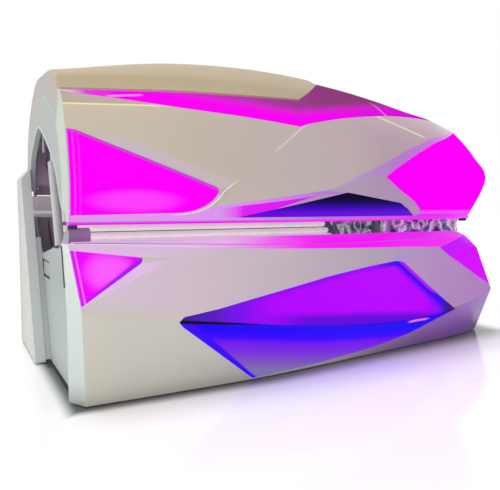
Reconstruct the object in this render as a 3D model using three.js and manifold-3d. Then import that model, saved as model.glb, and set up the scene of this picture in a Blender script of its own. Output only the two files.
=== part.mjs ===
// Clamshell tanning bed, canopy closed. Millimetres, +Z up, front towards -Y, foot end at -X.
import * as THREE from 'three';
import { mergeVertices } from 'three/addons/utils/BufferGeometryUtils.js';
import Module from 'manifold-3d';

const wasm = await Module();
wasm.setup();

// Overall sizes
const BODY_LENGTH = 2280;
const BODY_DEPTH = 1290;
const RIM_HEIGHT = 577;
const FRONT_GAP = 76;
const CANOPY_HEIGHT = 762;
const FRONT_FLOOR_GAP = 4;

// Sheet and trim thicknesses
const SKIN = 6;
const LENS = 5;
const LENS_RECESS = 4;
const ROOF_COVER = 10;
const END_CAP = 22;
const END_BEVEL = 34;
const PANEL = 8;
const ACRYLIC = 6;
const REFLECTOR = 2.5;
const GAP = 0.3;

// Canopy hinge and its posts
const HINGE_INSET = 175;
const HINGE_RISE = 147;
const PIN_RADIUS = 14;
const POST_THICKNESS = 44;
const POST_CLEARANCE = 6;

// Lift struts, placed from the hinge
const STRUT_FOOT_AHEAD = 515;
const STRUT_FOOT_BELOW = 290;
const STRUT_HEAD_AHEAD = 330;
const STRUT_HEAD_ABOVE = 180;
const STRUT_INSET = 57;
const SLEEVE_RADIUS = 20;
const SLEEVE_BORE = 16.5;
const ROD_RADIUS = 7;
const STRUT_PIN = 8;

// Lamps
const TUBE_RADIUS = 19;
const LAMP_AIR = 6;
const BASE_TUBES = 16;
const CANOPY_TUBES = 14;
const LAMP_END = 82;
const HEAD_LENGTH = 640;
const HEAD_DECK = 438;

// Front recess, frames and end hatches
const NOTCH_DEPTH = 62;
const FRAME_BOTTOM = 45;
const FRAME_SIZE = 40;
const FRAME_WALL = 4;
const CROSS_BAR = 24;
const FOOT_RADIUS = 34;
const RIB_FOOT = 40;
const HATCH_BEHIND = 58;
const HATCH_LENGTH = 219;

// Fan, console and face lamps
const FAN_RADIUS = 104;
const BUTTON_RADIUS = 9;
const BUTTON_PROUD = 3;
const BALL_RADIUS = 27;
const FILTER_LENGTH = 300;
const CONSOLE_LENGTH = 150;
const CONSOLE_INSET = 70;
const GEAR_INSET = 88;

const HALF = BODY_LENGTH / 2;
const DEEP = BODY_DEPTH / 2;
const SHELL_END = HALF - END_CAP - GAP;
const LIP_HEIGHT = RIM_HEIGHT + FRONT_GAP;
const HINGE_Y = DEEP - HINGE_INSET;
const HINGE_Z = LIP_HEIGHT + HINGE_RISE;
const STRUT_X = HALF - STRUT_INSET;
const STRUT_FOOT_Y = HINGE_Y - STRUT_FOOT_AHEAD;
const STRUT_FOOT_Z = HINGE_Z - STRUT_FOOT_BELOW;
const STRUT_HEAD_Y = HINGE_Y - STRUT_HEAD_AHEAD;
const STRUT_HEAD_Z = HINGE_Z + STRUT_HEAD_ABOVE;
const HEAD_START = HALF - HEAD_LENGTH;
const canopyZ = (w) => LIP_HEIGHT + w * CANOPY_HEIGHT;
const baseZ = (w) => w * RIM_HEIGHT;

// Solids

function solidFrom(geometry) {
  const bare = new THREE.BufferGeometry();
  bare.setAttribute('position', geometry.getAttribute('position'));
  bare.setIndex(geometry.index);
  const joined = mergeVertices(bare, 1e-4);
  const corners = joined.getAttribute('position').array;
  const faces = [];
  const index = joined.index.array;
  for (let i = 0; i < index.length; i += 3) {
    const [a, b, c] = [index[i], index[i + 1], index[i + 2]];
    if (a !== b && b !== c && c !== a) {
      faces.push(a, b, c);
    }
  }
  return new wasm.Manifold(new wasm.Mesh({
    numProp: 3,
    vertProperties: new Float32Array(corners),
    triVerts: new Uint32Array(faces),
  }));
}

function geometryOf(solid) {
  const mesh = solid.getMesh();
  const geometry = new THREE.BufferGeometry();
  geometry.setAttribute('position', new THREE.BufferAttribute(new Float32Array(mesh.vertProperties), 3));
  geometry.setIndex(new THREE.BufferAttribute(new Uint32Array(mesh.triVerts), 1));
  geometry.computeVertexNormals();
  return geometry;
}

function join(solids) {
  return solids.reduce((whole, piece) => whole.add(piece));
}

function prism(axis, outline, from, to) {
  const shape = new THREE.Shape(outline.map(([a, b]) => new THREE.Vector2(a, b)));
  const geometry = new THREE.ExtrudeGeometry(shape, { depth: to - from, bevelEnabled: false });
  if (axis === 'x') {
    const turn = new THREE.Matrix4().makeBasis(
      new THREE.Vector3(0, 1, 0), new THREE.Vector3(0, 0, 1), new THREE.Vector3(1, 0, 0));
    geometry.applyMatrix4(turn);
    geometry.translate(from, 0, 0);
  }
  if (axis === 'y') {
    geometry.rotateX(Math.PI / 2);
    geometry.translate(0, to, 0);
  }
  if (axis === 'z') {
    geometry.translate(0, 0, from);
  }
  return solidFrom(geometry);
}

function block(x0, x1, y0, y1, z0, z1) {
  const geometry = new THREE.BoxGeometry(x1 - x0, y1 - y0, z1 - z0);
  geometry.translate((x0 + x1) / 2, (y0 + y1) / 2, (z0 + z1) / 2);
  return solidFrom(geometry);
}

const ROUND = 14;

function rod(axis, radius, from, to, first, second, segments = ROUND) {
  const geometry = new THREE.CylinderGeometry(radius, radius, to - from, segments);
  geometry.translate(0, (from + to) / 2, 0);
  if (axis === 'x') {
    geometry.rotateZ(-Math.PI / 2);
    geometry.translate(0, first, second);
  }
  if (axis === 'y') {
    geometry.translate(first, 0, second);
  }
  if (axis === 'z') {
    geometry.rotateX(Math.PI / 2);
    geometry.translate(first, second, 0);
  }
  return solidFrom(geometry);
}

// Radius of a hole whose flats still clear a round pin
const clearing = (radius) => (radius + GAP) / Math.cos(Math.PI / ROUND);

function ball(radius, x, y, z) {
  const geometry = new THREE.SphereGeometry(radius, 14, 8);
  geometry.translate(x, y, z);
  return solidFrom(geometry);
}

// A closed sheet between two grids of points, outer face first
function slab(outer, inner) {
  const rows = outer.length;
  const columns = outer[0].length;
  const points = [];
  outer.forEach((row) => row.forEach((p) => points.push(p.x, p.y, p.z)));
  inner.forEach((row) => row.forEach((p) => points.push(p.x, p.y, p.z)));
  const under = rows * columns;
  const at = (i, j) => i * columns + j;
  const faces = [];
  const quad = (a, b, c, d) => faces.push(a, b, c, a, c, d);
  for (let i = 0; i < rows - 1; i += 1) {
    for (let j = 0; j < columns - 1; j += 1) {
      const [a, b, c, d] = [at(i, j), at(i + 1, j), at(i + 1, j + 1), at(i, j + 1)];
      quad(a, b, c, d);
      quad(under + a, under + d, under + c, under + b);
    }
  }
  for (let i = 0; i < rows - 1; i += 1) {
    const last = columns - 1;
    quad(at(i + 1, 0), at(i, 0), under + at(i, 0), under + at(i + 1, 0));
    quad(at(i, last), at(i + 1, last), under + at(i + 1, last), under + at(i, last));
  }
  for (let j = 0; j < columns - 1; j += 1) {
    const last = rows - 1;
    quad(at(0, j), at(0, j + 1), under + at(0, j + 1), under + at(0, j));
    quad(at(last, j + 1), at(last, j), under + at(last, j), under + at(last, j + 1));
  }
  const geometry = new THREE.BufferGeometry();
  geometry.setAttribute('position', new THREE.Float32BufferAttribute(points, 3));
  geometry.setIndex(faces);
  return solidFrom(geometry);
}

function gridNormals(grid, flat) {
  const rows = grid.length;
  const columns = grid[0].length;
  return grid.map((row, i) => row.map((p, j) => {
    const alongX = grid[Math.min(i + 1, rows - 1)][j].clone().sub(grid[Math.max(i - 1, 0)][j]);
    const upwards = row[Math.min(j + 1, columns - 1)].clone().sub(row[Math.max(j - 1, 0)]);
    const normal = alongX.cross(upwards);
    if (flat) {
      normal.x = 0;
    }
    return normal.normalize();
  }));
}

function offsetGrid(grid, normals, distance) {
  return grid.map((row, i) => row.map((p, j) => p.clone().addScaledVector(normals[i][j], distance)));
}

function sheet(grid, outward, inward, flat = true) {
  const normals = gridNormals(grid, flat);
  return slab(offsetGrid(grid, normals, outward), offsetGrid(grid, normals, -inward));
}

// A solid through closed rings of equal point count, at rising X
function ringSolid(rings) {
  const count = rings[0].length;
  const points = [];
  rings.forEach((ring) => ring.forEach((p) => points.push(p.x, p.y, p.z)));
  const faces = [];
  for (let i = 0; i < rings.length - 1; i += 1) {
    for (let k = 0; k < count; k += 1) {
      const a = i * count + k;
      const b = i * count + ((k + 1) % count);
      faces.push(a, a + count, b + count, a, b + count, b);
    }
  }
  const flatRing = (ring) => ring.map((p) => new THREE.Vector2(p.y, p.z));
  const capOf = (ring) => THREE.ShapeUtils.triangulateShape(flatRing(ring), []);
  const last = (rings.length - 1) * count;
  capOf(rings[0]).forEach(([a, b, c]) => faces.push(c, b, a));
  capOf(rings[rings.length - 1]).forEach(([a, b, c]) => faces.push(last + a, last + b, last + c));
  const geometry = new THREE.BufferGeometry();
  geometry.setAttribute('position', new THREE.Float32BufferAttribute(points, 3));
  geometry.setIndex(faces);
  return solidFrom(geometry);
}

// Outlines

function along(stations, values) {
  const top = stations.length - 1;
  const slope = (k) => {
    const [a, b] = [Math.max(k - 1, 0), Math.min(k + 1, top)];
    return (values[b] - values[a]) / (stations[b] - stations[a]);
  };
  return (station) => {
    const s = Math.min(Math.max(station, stations[0]), stations[top]);
    let i = 0;
    while (i < top - 1 && s > stations[i + 1]) {
      i += 1;
    }
    const h = stations[i + 1] - stations[i];
    const t = (s - stations[i]) / h;
    const near = values[i] * (1 + 2 * t) * (1 - t) ** 2 + slope(i) * h * t * (1 - t) ** 2;
    const far = values[i + 1] * t * t * (3 - 2 * t) + slope(i + 1) * h * t * t * (t - 1);
    return near + far;
  };
}

function straight(stations, values) {
  return (s) => {
    let i = 0;
    while (i < stations.length - 2 && s > stations[i + 1]) {
      i += 1;
    }
    const t = (s - stations[i]) / (stations[i + 1] - stations[i]);
    return values[i] + t * (values[i + 1] - values[i]);
  };
}

function softened(corners, radius, steps = 4) {
  const points = [];
  corners.forEach(([x, y], k) => {
    const corner = new THREE.Vector2(x, y);
    const before = new THREE.Vector2(...corners[(k + corners.length - 1) % corners.length]);
    const after = new THREE.Vector2(...corners[(k + 1) % corners.length]);
    const reach = Math.min(radius, corner.distanceTo(before) * 0.45, corner.distanceTo(after) * 0.45);
    const start = corner.clone().lerp(before, reach / corner.distanceTo(before));
    const end = corner.clone().lerp(after, reach / corner.distanceTo(after));
    const bend = new THREE.QuadraticBezierCurve(start, corner, end);
    bend.getPoints(steps).forEach((p) => points.push([p.x, p.y]));
  });
  return points;
}

function inset(outline, distance) {
  const area = THREE.ShapeUtils.area(outline.map(([x, y]) => new THREE.Vector2(x, y)));
  const side = Math.sign(area) * distance;
  return outline.map(([x, y], k) => {
    const [bx, by] = outline[(k + outline.length - 1) % outline.length];
    const [ax, ay] = outline[(k + 1) % outline.length];
    const before = new THREE.Vector2(x - bx, y - by).normalize();
    const after = new THREE.Vector2(ax - x, ay - y).normalize();
    const bisector = before.clone().add(after).normalize();
    const widen = side / Math.max(bisector.dot(after), 0.3);
    return [x - bisector.y * widen, y + bisector.x * widen];
  });
}

function partOf(path, first, last) {
  const top = path.length - 1;
  return path.slice(Math.round(first * top), Math.round(last * top) + 1);
}

function shifted(path, distance) {
  return path.map((p, k) => {
    const a = path[Math.max(k - 1, 0)];
    const b = path[Math.min(k + 1, path.length - 1)];
    const way = b.clone().sub(a).normalize();
    return [p.x - way.y * distance, p.y + way.x * distance];
  });
}

// A band along part of a path, between two distances to its left
function ribbon(path, from, to, [first, last] = [0, 1]) {
  const near = partOf(shifted(path, from), first, last);
  const far = partOf(shifted(path, to), first, last);
  return [...near, ...far.reverse()];
}

function pointBeside(path, share, distance) {
  const place = share * (path.length - 1);
  const k = Math.min(Math.floor(place), path.length - 2);
  const way = path[k + 1].clone().sub(path[k]);
  const spot = path[k].clone().addScaledVector(way, place - k);
  way.normalize();
  return [spot.x - way.y * distance, spot.y + way.x * distance];
}

// Canopy form: rails from the front lip over the crown to the rear edge

const CANOPY_STATIONS = [-1, -0.553, -0.138, 0.277, 0.692, 1];
const CANOPY_RAILS = [
  [[-0.807, -0.851, -0.866, -0.837, -0.749, -0.55], [0, 0, 0, 0, 0, 0]],
  [[-0.822, -0.881, -0.895, -0.881, -0.822, -0.731], [0.211, 0.211, 0.211, 0.224, 0.243, 0.267]],
  [[-0.727, -0.778, -0.793, -0.778, -0.719, -0.608], [0.522, 0.547, 0.547, 0.534, 0.49, 0.43]],
  [[-0.587, -0.631, -0.646, -0.616, -0.528, -0.367], [0.677, 0.715, 0.723, 0.721, 0.688, 0.635]],
  [[-0.521, -0.543, -0.543, -0.499, -0.382, -0.22], [0.722, 0.792, 0.803, 0.785, 0.737, 0.683]],
  [[-0.323, -0.294, -0.294, -0.264, -0.205, -0.091], [0.772, 0.888, 0.915, 0.88, 0.8, 0.738]],
  [[-0.073, 0, 0, 0, 0.015, 0.073], [0.79, 0.921, 0.958, 0.922, 0.84, 0.782]],
  [[0.2, 0.233, 0.233, 0.233, 0.233, 0.233], [0.8, 0.914, 0.952, 0.915, 0.836, 0.772]],
  [[0.419, 0.481, 0.481, 0.481, 0.481, 0.465], [0.738, 0.828, 0.864, 0.83, 0.762, 0.695]],
  [[0.62, 0.682, 0.682, 0.682, 0.667, 0.636], [0.643, 0.694, 0.728, 0.708, 0.655, 0.592]],
  [[0.747, 0.837, 0.845, 0.845, 0.829, 0.775], [0.521, 0.534, 0.554, 0.541, 0.514, 0.482]],
  [[0.814, 0.922, 0.93, 0.93, 0.915, 0.837], [0.39, 0.364, 0.37, 0.364, 0.357, 0.337]],
  [[0.829, 0.93, 0.938, 0.938, 0.922, 0.845], [0.193, 0.193, 0.193, 0.193, 0.193, 0.193]],
].map(([depths, heights]) => [along(CANOPY_STATIONS, depths), along(CANOPY_STATIONS, heights)]);

function canopySection(x) {
  const u = x / HALF;
  const knots = CANOPY_RAILS.map(([v, w]) => new THREE.Vector2(v(u) * DEEP, canopyZ(w(u))));
  const curve = new THREE.SplineCurve(knots);
  const last = knots.length - 1;
  const front = Array.from({ length: 13 }, (_, k) => k / 2);
  const rear = Array.from({ length: last - 6 }, (_, k) => 7 + k);
  return [...front, ...rear].map((k) => {
    const p = curve.getPoint(k / last);
    return new THREE.Vector3(x, p.x, p.y);
  });
}

function stationsBetween(from, to, count) {
  return Array.from({ length: count + 1 }, (_, k) => from + (to - from) * k / count);
}

const canopyGrid = stationsBetween(-SHELL_END, SHELL_END, 14).map((x) => canopySection(x));
const canopyShell = sheet(canopyGrid, 0, SKIN);
const canopyWithin = sheet(canopyGrid, 260, LENS_RECESS + LENS + GAP);
const FAR = 2 * BODY_LENGTH;
const ROOF_REAR = 0.465 * DEEP;
const ROOF_LAP = 15;

const onCanopy = (points) => points.map(([u, w]) => [u * HALF, canopyZ(w)]);
const onBase = (points) => points.map(([u, w]) => [u * HALF, baseZ(w)]);
const frontCut = (outline, rear = 0) => prism('y', outline, -2 * DEEP, rear);

const roofEdge = [[-1.1, 0.628], [-0.799, 0.655], [-0.586, 0.674], [-0.348, 0.686], [-0.086, 0.699],
  [0.014, 0.783], [0.09, 0.843], [0.15, 0.895], [0.17, 1.2]];
const bandEdge = [[-1.1, 0.638], [-0.985, 0.628], [-0.805, 0.609], [-0.603, 0.583], [-0.338, 0.557],
  [-0.121, 0.528], [-0.085, 0.549], [0.094, 0.605], [0.31, 0.652], [0.485, 0.676], [0.734, 0.69],
  [1.1, 0.7]];
const roofOutline = onCanopy([...roofEdge, [-1.1, 1.2]]);
const underRoof = roofEdge.map(([u, w]) => [u - 0.012, w + 0.02]).reverse();
const bandOutline = onCanopy([...bandEdge, [1.1, 1.2], ...underRoof]);
const leftLensOutline = softened(onCanopy([[-0.976, 0.44], [-0.96, 0.437], [-0.482, 0.162], [-0.52, 0.09],
  [-0.566, 0.055], [-0.62, 0.039], [-0.976, 0.028]]), 26);
const noseOutline = onCanopy([[0.274, 0.246], [0.428, 0.357], [0.621, 0.474], [0.9, 0.594], [1.1, 0.66],
  [1.1, 0.022], [0.515, 0.024], [0.495, 0.06], [0.443, 0.114], [0.359, 0.17]]);
const glowOutline = onCanopy([[-0.512, 0.03], [-0.5, 0.05], [-0.465, 0.064], [-0.406, 0.075],
  [-0.242, 0.102], [-0.04, 0.14], [0.07, 0.154], [-0.153, 0.086], [-0.395, 0.018], [-0.505, 0.018]]);
const visorOutline = onCanopy([[0.07, 0.154], [0.1, 0.148], [0.37, 0.094], [0.42, 0.058], [0.467, 0.016],
  [-0.395, 0.018], [-0.153, 0.086]]);

function canopyLens(outline, recess = LENS_RECESS, rear = 0) {
  return sheet(canopyGrid, -recess, recess + LENS).intersect(frontCut(inset(outline, GAP / 2), rear));
}

const roofOuter = sheet(canopyGrid, ROOF_COVER + GAP, -GAP);
const roofPanel = roofOuter.intersect(frontCut(roofOutline, ROOF_REAR));
const topLens = canopyShell.intersect(frontCut(inset(bandOutline, GAP / 2), ROOF_REAR - ROOF_LAP - GAP));
const leftLens = canopyLens(leftLensOutline);
const noseLens = canopyLens(noseOutline, 0);
const glowLens = canopyLens(glowOutline);
const visor = canopyLens(visorOutline);
const rearPanel = canopyShell.intersect(block(-FAR, FAR, ROOF_REAR - ROOF_LAP, FAR, 0, FAR));
const belowBand = onCanopy([...bandEdge, [1.1, -0.3], [-1.1, -0.3]]);
const widen = (outline) => frontCut(inset(outline, -GAP / 2));
const frontPanel = canopyShell.intersect(frontCut(inset(belowBand, GAP / 2)))
  .subtract(widen(leftLensOutline)).subtract(widen(noseOutline))
  .subtract(widen(glowOutline)).subtract(widen(visorOutline));

// Tunnel arches in the end caps and along the canopy

const archKnots = [[-0.729, 0], [-0.725, 0.03], [-0.633, 0.105], [-0.493, 0.254], [-0.298, 0.37],
  [0.007, 0.492], [0.204, 0.53], [0.481, 0.44], [0.624, 0.339], [0.653, 0.168]];
const headKnots = [[-0.5, 0], [-0.48, 0.1], [-0.4, 0.24], [-0.25, 0.36], [0, 0.46], [0.204, 0.5],
  [0.45, 0.42], [0.59, 0.32], [0.64, 0.19]];
const archPath = (knots, count) => new THREE.SplineCurve(
  knots.map(([v, w]) => new THREE.Vector2(v * DEEP, canopyZ(w)))).getPoints(count);
const tunnel = archPath(archKnots, 22);
const headTunnel = archPath(headKnots, 14);

function archOpening(path, spread) {
  const points = shifted(path, spread);
  const low = LIP_HEIGHT - 120;
  return [[points[0][0], low], ...points, [points[points.length - 1][0], low]];
}

// End caps: bevelled towards the end face, with a boss around the hinge

function endCap(side, path) {
  const ringAt = (x, bevel) => {
    const section = canopySection(side * (HALF - END_CAP));
    const normals = gridNormals([section, canopySection(side * (HALF - END_CAP) + 1)], true)[0];
    return section.map((p, k) => {
      const share = Math.sin(Math.PI * Math.min(k / (section.length * 0.5), 1));
      const back = bevel * (0.3 + 0.7 * Math.max(share, 0));
      const moved = p.clone().addScaledVector(normals[k], -back);
      moved.x = x;
      return moved;
    });
  };
  const full = ringAt(side * (HALF - END_CAP), 0);
  const level = ringAt(side * (HALF - END_CAP * 0.35), END_BEVEL);
  const face = ringAt(side * HALF, END_BEVEL + 3);
  const rings = side < 0 ? [face, level, full] : [full, level, face];
  const opening = prism('x', archOpening(path, 0), -FAR, FAR);
  const [inner, outer] = side < 0 ? [-HALF, -HALF + END_CAP] : [HALF - END_CAP, HALF];
  const boss = rod('x', PIN_RADIUS * 4.3, inner, outer, HINGE_Y, HINGE_Z, 20);
  const bore = rod('x', clearing(PIN_RADIUS), inner - 1, outer + 1, HINGE_Y, HINGE_Z);
  return ringSolid(rings).subtract(opening).add(boss).subtract(bore);
}

const leftCap = endCap(-1, tunnel);
const rightCap = endCap(1, headTunnel);

// Lower rim that closes the canopy under its front panel

const LOWER_RIM = 12;
const lipY = (x) => CANOPY_RAILS[0][0](x / HALF) * DEEP;
const rimFront = stationsBetween(-HALF + 9, HALF - 9, 20).map((x) => [x, lipY(x) + 1]);
const lowerRimOutline = [...rimFront, [HALF - 9, headTunnel[0].x], [HEAD_START, headTunnel[0].x],
  [HEAD_START, tunnel[0].x], [-HALF + 9, tunnel[0].x]];
const lowerRim = prism('z', lowerRimOutline, LIP_HEIGHT - LOWER_RIM - GAP, LIP_HEIGHT - GAP);

function cornerBuffer(side) {
  const x = side * (HALF - 26);
  const y = lipY(side * HALF) + 26;
  const top = LIP_HEIGHT - LOWER_RIM - 2 * GAP;
  const outline = softened([[x - 15, y - 20], [x + 15, y - 20], [x + 15, y + 20], [x - 15, y + 20]], 8);
  return prism('z', outline, top - 15, top);
}

// Canopy inside: acrylic arch, tubes, reflector and frame

const ACRYLIC_SPREAD = 12;
const tubeSpread = (start) => start + ACRYLIC + LAMP_AIR + TUBE_RADIUS;
const reflectorSpread = (start) => tubeSpread(start) + TUBE_RADIUS + LAMP_AIR;
const LAMP_LEFT = -HALF + LAMP_END;
const archBand = ribbon(tunnel, ACRYLIC_SPREAD, ACRYLIC_SPREAD + ACRYLIC);
const canopyAcrylic = prism('x', archBand, LAMP_LEFT, HEAD_START)
  .subtract(block(-FAR, FAR, -FAR, FAR, 0, LIP_HEIGHT));
const CANOPY_LIT = [0.2, 0.9];
const canopyReflect = reflectorSpread(ACRYLIC_SPREAD);
const canopyReflector = prism('x', ribbon(tunnel, canopyReflect, canopyReflect + REFLECTOR, CANOPY_LIT),
  LAMP_LEFT, HEAD_START - 10);

// Lamp holders at both ends with the tubes between them
function lampBank(path, litPart, start, left, right, count, side) {
  const [near, far] = [start + ACRYLIC + GAP, reflectorSpread(start) - GAP];
  const holder = ribbon(path, side * near, side * far, litPart);
  const ends = [prism('x', holder, left, left + 14), prism('x', holder, right - 14, right)];
  const tubes = Array.from({ length: count }, (_, k) => {
    const share = 0.05 + 0.9 * k / (count - 1);
    const [y, z] = pointBeside(partOf(path, ...litPart), share, side * tubeSpread(start));
    return rod('x', TUBE_RADIUS, left + 7, right - 7, y, z, 8);
  });
  return join([...ends, ...tubes]);
}

const CANOPY_RIGHT = HEAD_START - 10;
const canopyLamps = lampBank(tunnel, CANOPY_LIT, ACRYLIC_SPREAD, LAMP_LEFT, CANOPY_RIGHT, CANOPY_TUBES, 1);

function canopyRib(x0, x1, path, spread) {
  const section = canopySection((x0 + x1) / 2).map((p) => [p.y, p.z]);
  const opening = prism('x', archOpening(path, spread), -FAR, FAR);
  return prism('x', section, x0, x1).subtract(opening);
}

function angleBar(y, z, up, back, x0, x1) {
  const arm = FRAME_SIZE;
  const wall = FRAME_WALL;
  const bar = [[0, 0], [arm, 0], [arm, wall], [wall, wall], [wall, arm], [0, arm]];
  return prism('x', bar.map(([a, b]) => [y + back * a, z + up * b]), x0, x1);
}

function canopyEnd(side) {
  const outerX = side * SHELL_END;
  const innerX = side * (SHELL_END - PANEL);
  const [x0, x1] = side < 0 ? [outerX, innerX] : [innerX, outerX];
  const path = side < 0 ? tunnel : headTunnel;
  const boss = rod('x', PIN_RADIUS * 3, x0, x1, HINGE_Y, HINGE_Z, 16);
  const tab = block(x0, x1, STRUT_HEAD_Y - 30, STRUT_HEAD_Y + 30, STRUT_HEAD_Z - 25, canopyZ(0.6));
  const pinEnd = side * (STRUT_X - 11);
  const [p0, p1] = side < 0 ? [x1 - 2, pinEnd] : [pinEnd, x0 + 2];
  const pin = rod('x', STRUT_PIN, p0, p1, STRUT_HEAD_Y, STRUT_HEAD_Z, 16);
  return join([canopyRib(x0, x1, path, ACRYLIC_SPREAD), boss, tab, pin]);
}

const ribSpread = canopyReflect + REFLECTOR + GAP;
const RIB_X = -0.02 * HALF;
const middleRib = canopyRib(RIB_X, RIB_X + PANEL, tunnel, ribSpread)
  .subtract(block(-FAR, FAR, -FAR, FAR, 0, LIP_HEIGHT + RIB_FOOT));
const SPAN = SHELL_END - 1;
const canopyBars = [
  angleBar(-0.62 * DEEP, canopyZ(0.4), 1, 1, -SPAN, SPAN),
  angleBar(0, canopyZ(0.7), 1, 1, -SPAN, SPAN),
  angleBar(0.7 * DEEP, canopyZ(0.5), 1, -1, -SPAN, SPAN),
];
const hingeBore = (x0, x1) => rod('x', clearing(PIN_RADIUS), x0, x1, HINGE_Y, HINGE_Z);
const canopyFrame = join([canopyEnd(-1), canopyEnd(1), middleRib, ...canopyBars])
  .subtract(canopyWithin)
  .subtract(hingeBore(-FAR, FAR))
  .subtract(block(-FAR, FAR, 0.8 * DEEP, FAR, 0, canopyZ(0.2)));

// Head end of the canopy: liner, face lamps, console, buttons and nozzles

const LINER = 5;
const headEnd = SHELL_END - PANEL - GAP;
const linerRibbon = ribbon(headTunnel, 0, LINER);
const flangeOuter = shifted(tunnel, ACRYLIC_SPREAD + ACRYLIC);
const headFlange = [...flangeOuter, ...[...headTunnel].reverse().map((p) => [p.x, p.y])];
const FACE_START = HEAD_START + 70;
const FACE_END = FACE_START + FILTER_LENGTH;
const filterPath = partOf(headTunnel, 0.42, 0.72);
const filterWindow = prism('x', ribbon(filterPath, -20, 20), FACE_START, FACE_END);
const headLiner = prism('x', headFlange, HEAD_START + GAP, HEAD_START + LINER)
  .add(prism('x', linerRibbon, HEAD_START + LINER - 1, headEnd))
  .subtract(filterWindow)
  .subtract(block(-FAR, FAR, -FAR, FAR, 0, LIP_HEIGHT));
const faceFilter = prism('x', inset(ribbon(filterPath, 0, LINER), GAP), FACE_START + GAP, FACE_END - GAP);
const hoodPath = partOf(headTunnel, 0.36, 0.78);
const faceHood = prism('x', ribbon(hoodPath, LINER + GAP, 80), FACE_START - 12, FACE_END + 12)
  .subtract(prism('x', ribbon(filterPath, 0, 74), FACE_START + 2, FACE_END - 2));
const faceLamps = [0.28, 0.72].map((share) => {
  const [y, z] = pointBeside(filterPath, share, 44);
  return rod('x', 9, FACE_START + 2 + GAP, FACE_END - 2 - GAP, y, z, 10);
});

const CONSOLE_X1 = HALF - CONSOLE_INSET;
const CONSOLE_X0 = CONSOLE_X1 - CONSOLE_LENGTH;
const CONSOLE_Y0 = -0.06 * DEEP;
const CONSOLE_Y1 = 0.46 * DEEP;
const consoleFloor = canopyZ(0.4);
const consoleRoof = prism('x', archOpening(headTunnel, -GAP), -FAR, FAR);
const buttonX = (CONSOLE_X0 + CONSOLE_X1) / 2 - 34;
const buttonY = [0, 1, 2].map((k) => CONSOLE_Y0 + 110 + k * 36);
const nozzleX = CONSOLE_X1 - 46;
const nozzleY = [CONSOLE_Y0 + 52];
const BUTTON_DEEP = 22;
const buttonHole = (y) => rod('z', BUTTON_RADIUS + GAP, consoleFloor - 5, consoleFloor + BUTTON_DEEP,
  buttonX, y, 16);
const nozzleSocket = (y) => ball(BALL_RADIUS + 2, nozzleX, y, consoleFloor + 4)
  .add(rod('x', 4 + GAP, nozzleX - BALL_RADIUS - 6, nozzleX + BALL_RADIUS + 6, y, consoleFloor + 4, 12))
  .add(block(nozzleX - 4 - GAP, nozzleX + 4 + GAP, y - 1, y + 1, consoleFloor - 1, consoleFloor + 4));
const headConsole = block(CONSOLE_X0, CONSOLE_X1, CONSOLE_Y0, CONSOLE_Y1, consoleFloor, canopyZ(0.6))
  .intersect(consoleRoof)
  .subtract(join(buttonY.map(buttonHole)))
  .subtract(join(nozzleY.map(nozzleSocket)));
const buttons = buttonY.map((y) => rod('z', BUTTON_RADIUS, consoleFloor - BUTTON_PROUD,
  consoleFloor + BUTTON_DEEP - 5, buttonX, y, 16));
const nozzles = nozzleY.map((y) => ball(BALL_RADIUS, nozzleX, y, consoleFloor + 4)
  .add(rod('x', 4, nozzleX - BALL_RADIUS - 5.5, nozzleX + BALL_RADIUS + 5.5, y, consoleFloor + 4, 12))
  .subtract(rod('z', BALL_RADIUS * 0.6, consoleFloor - 40, consoleFloor + 8, nozzleX, y, 16)));

// Base form: rails from the floor edge over the crease and top edge to the inner rim

const BASE_STATIONS = [-0.969, -0.661, -0.387, -0.138, 0.153, 0.543, 0.858, 1];
const baseRail = (depths, heights) => [along(BASE_STATIONS, depths), along(BASE_STATIONS, heights)];
const BASE_RAILS = [
  baseRail([-0.954, -0.962, -0.96, -0.928, -0.868, -0.79, -0.722, -0.645],
    Array(8).fill(FRONT_FLOOR_GAP / RIM_HEIGHT)),
  baseRail([-0.954, -0.998, -1.005, -0.976, -0.927, -0.86, -0.815, -0.8],
    [0.578, 0.486, 0.41, 0.345, 0.287, 0.271, 0.345, 0.436]),
  baseRail([-0.807, -0.866, -0.881, -0.881, -0.837, -0.737, -0.652, -0.643],
    [0.989, 0.957, 0.93, 0.911, 0.891, 0.866, 0.837, 0.82]),
  baseRail([-0.705, -0.705, -0.705, -0.705, -0.705, -0.705, -0.62, -0.52], [1, 1, 1, 1, 1, 1, 0.985, 0.93]),
];
const seamShare = along([-1, -0.387, 0, 0.543, 0.858, 1], [0.4, 0.35, 0.33, 0.5, 0.65, 0.7]);

function basePoint(rail, u, x = u * HALF) {
  const [v, w] = BASE_RAILS[rail];
  return new THREE.Vector3(x, v(u) * DEEP, baseZ(w(u)));
}

function seamPoint(u, past = 0) {
  const [edge, rim] = [basePoint(2, u), basePoint(3, u)];
  const share = seamShare(u) + past / edge.distanceTo(rim);
  return edge.lerp(rim, share);
}

const baseStations = stationsBetween(-0.93, 1, 16);
const cornerAt = (u, v, w) => new THREE.Vector3(u * HALF, v * DEEP, baseZ(w));
const floorShare = FRONT_FLOOR_GAP / RIM_HEIGHT;
const fasciaGrid = [
  [cornerAt(-1.007, -0.831, floorShare), cornerAt(-1.007, -0.831, 0.578),
    cornerAt(-1.004, -0.69, 0.985), cornerAt(-1.003, -0.672, 0.99)],
  [cornerAt(-0.969, -0.954, floorShare), cornerAt(-0.97, -0.954, 0.578),
    cornerAt(-0.99, -0.807, 0.989), cornerAt(-0.988, -0.767, 0.993)],
  ...baseStations.map((u) => [basePoint(0, u), basePoint(1, u), basePoint(2, u), seamPoint(u)]),
  [cornerAt(0.994, -0.46, floorShare), cornerAt(0.994, -0.62, 0.436), cornerAt(0.994, -0.47, 0.82),
    cornerAt(0.994, -0.45, 0.9)],
];
const rimStart = -0.978;
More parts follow.
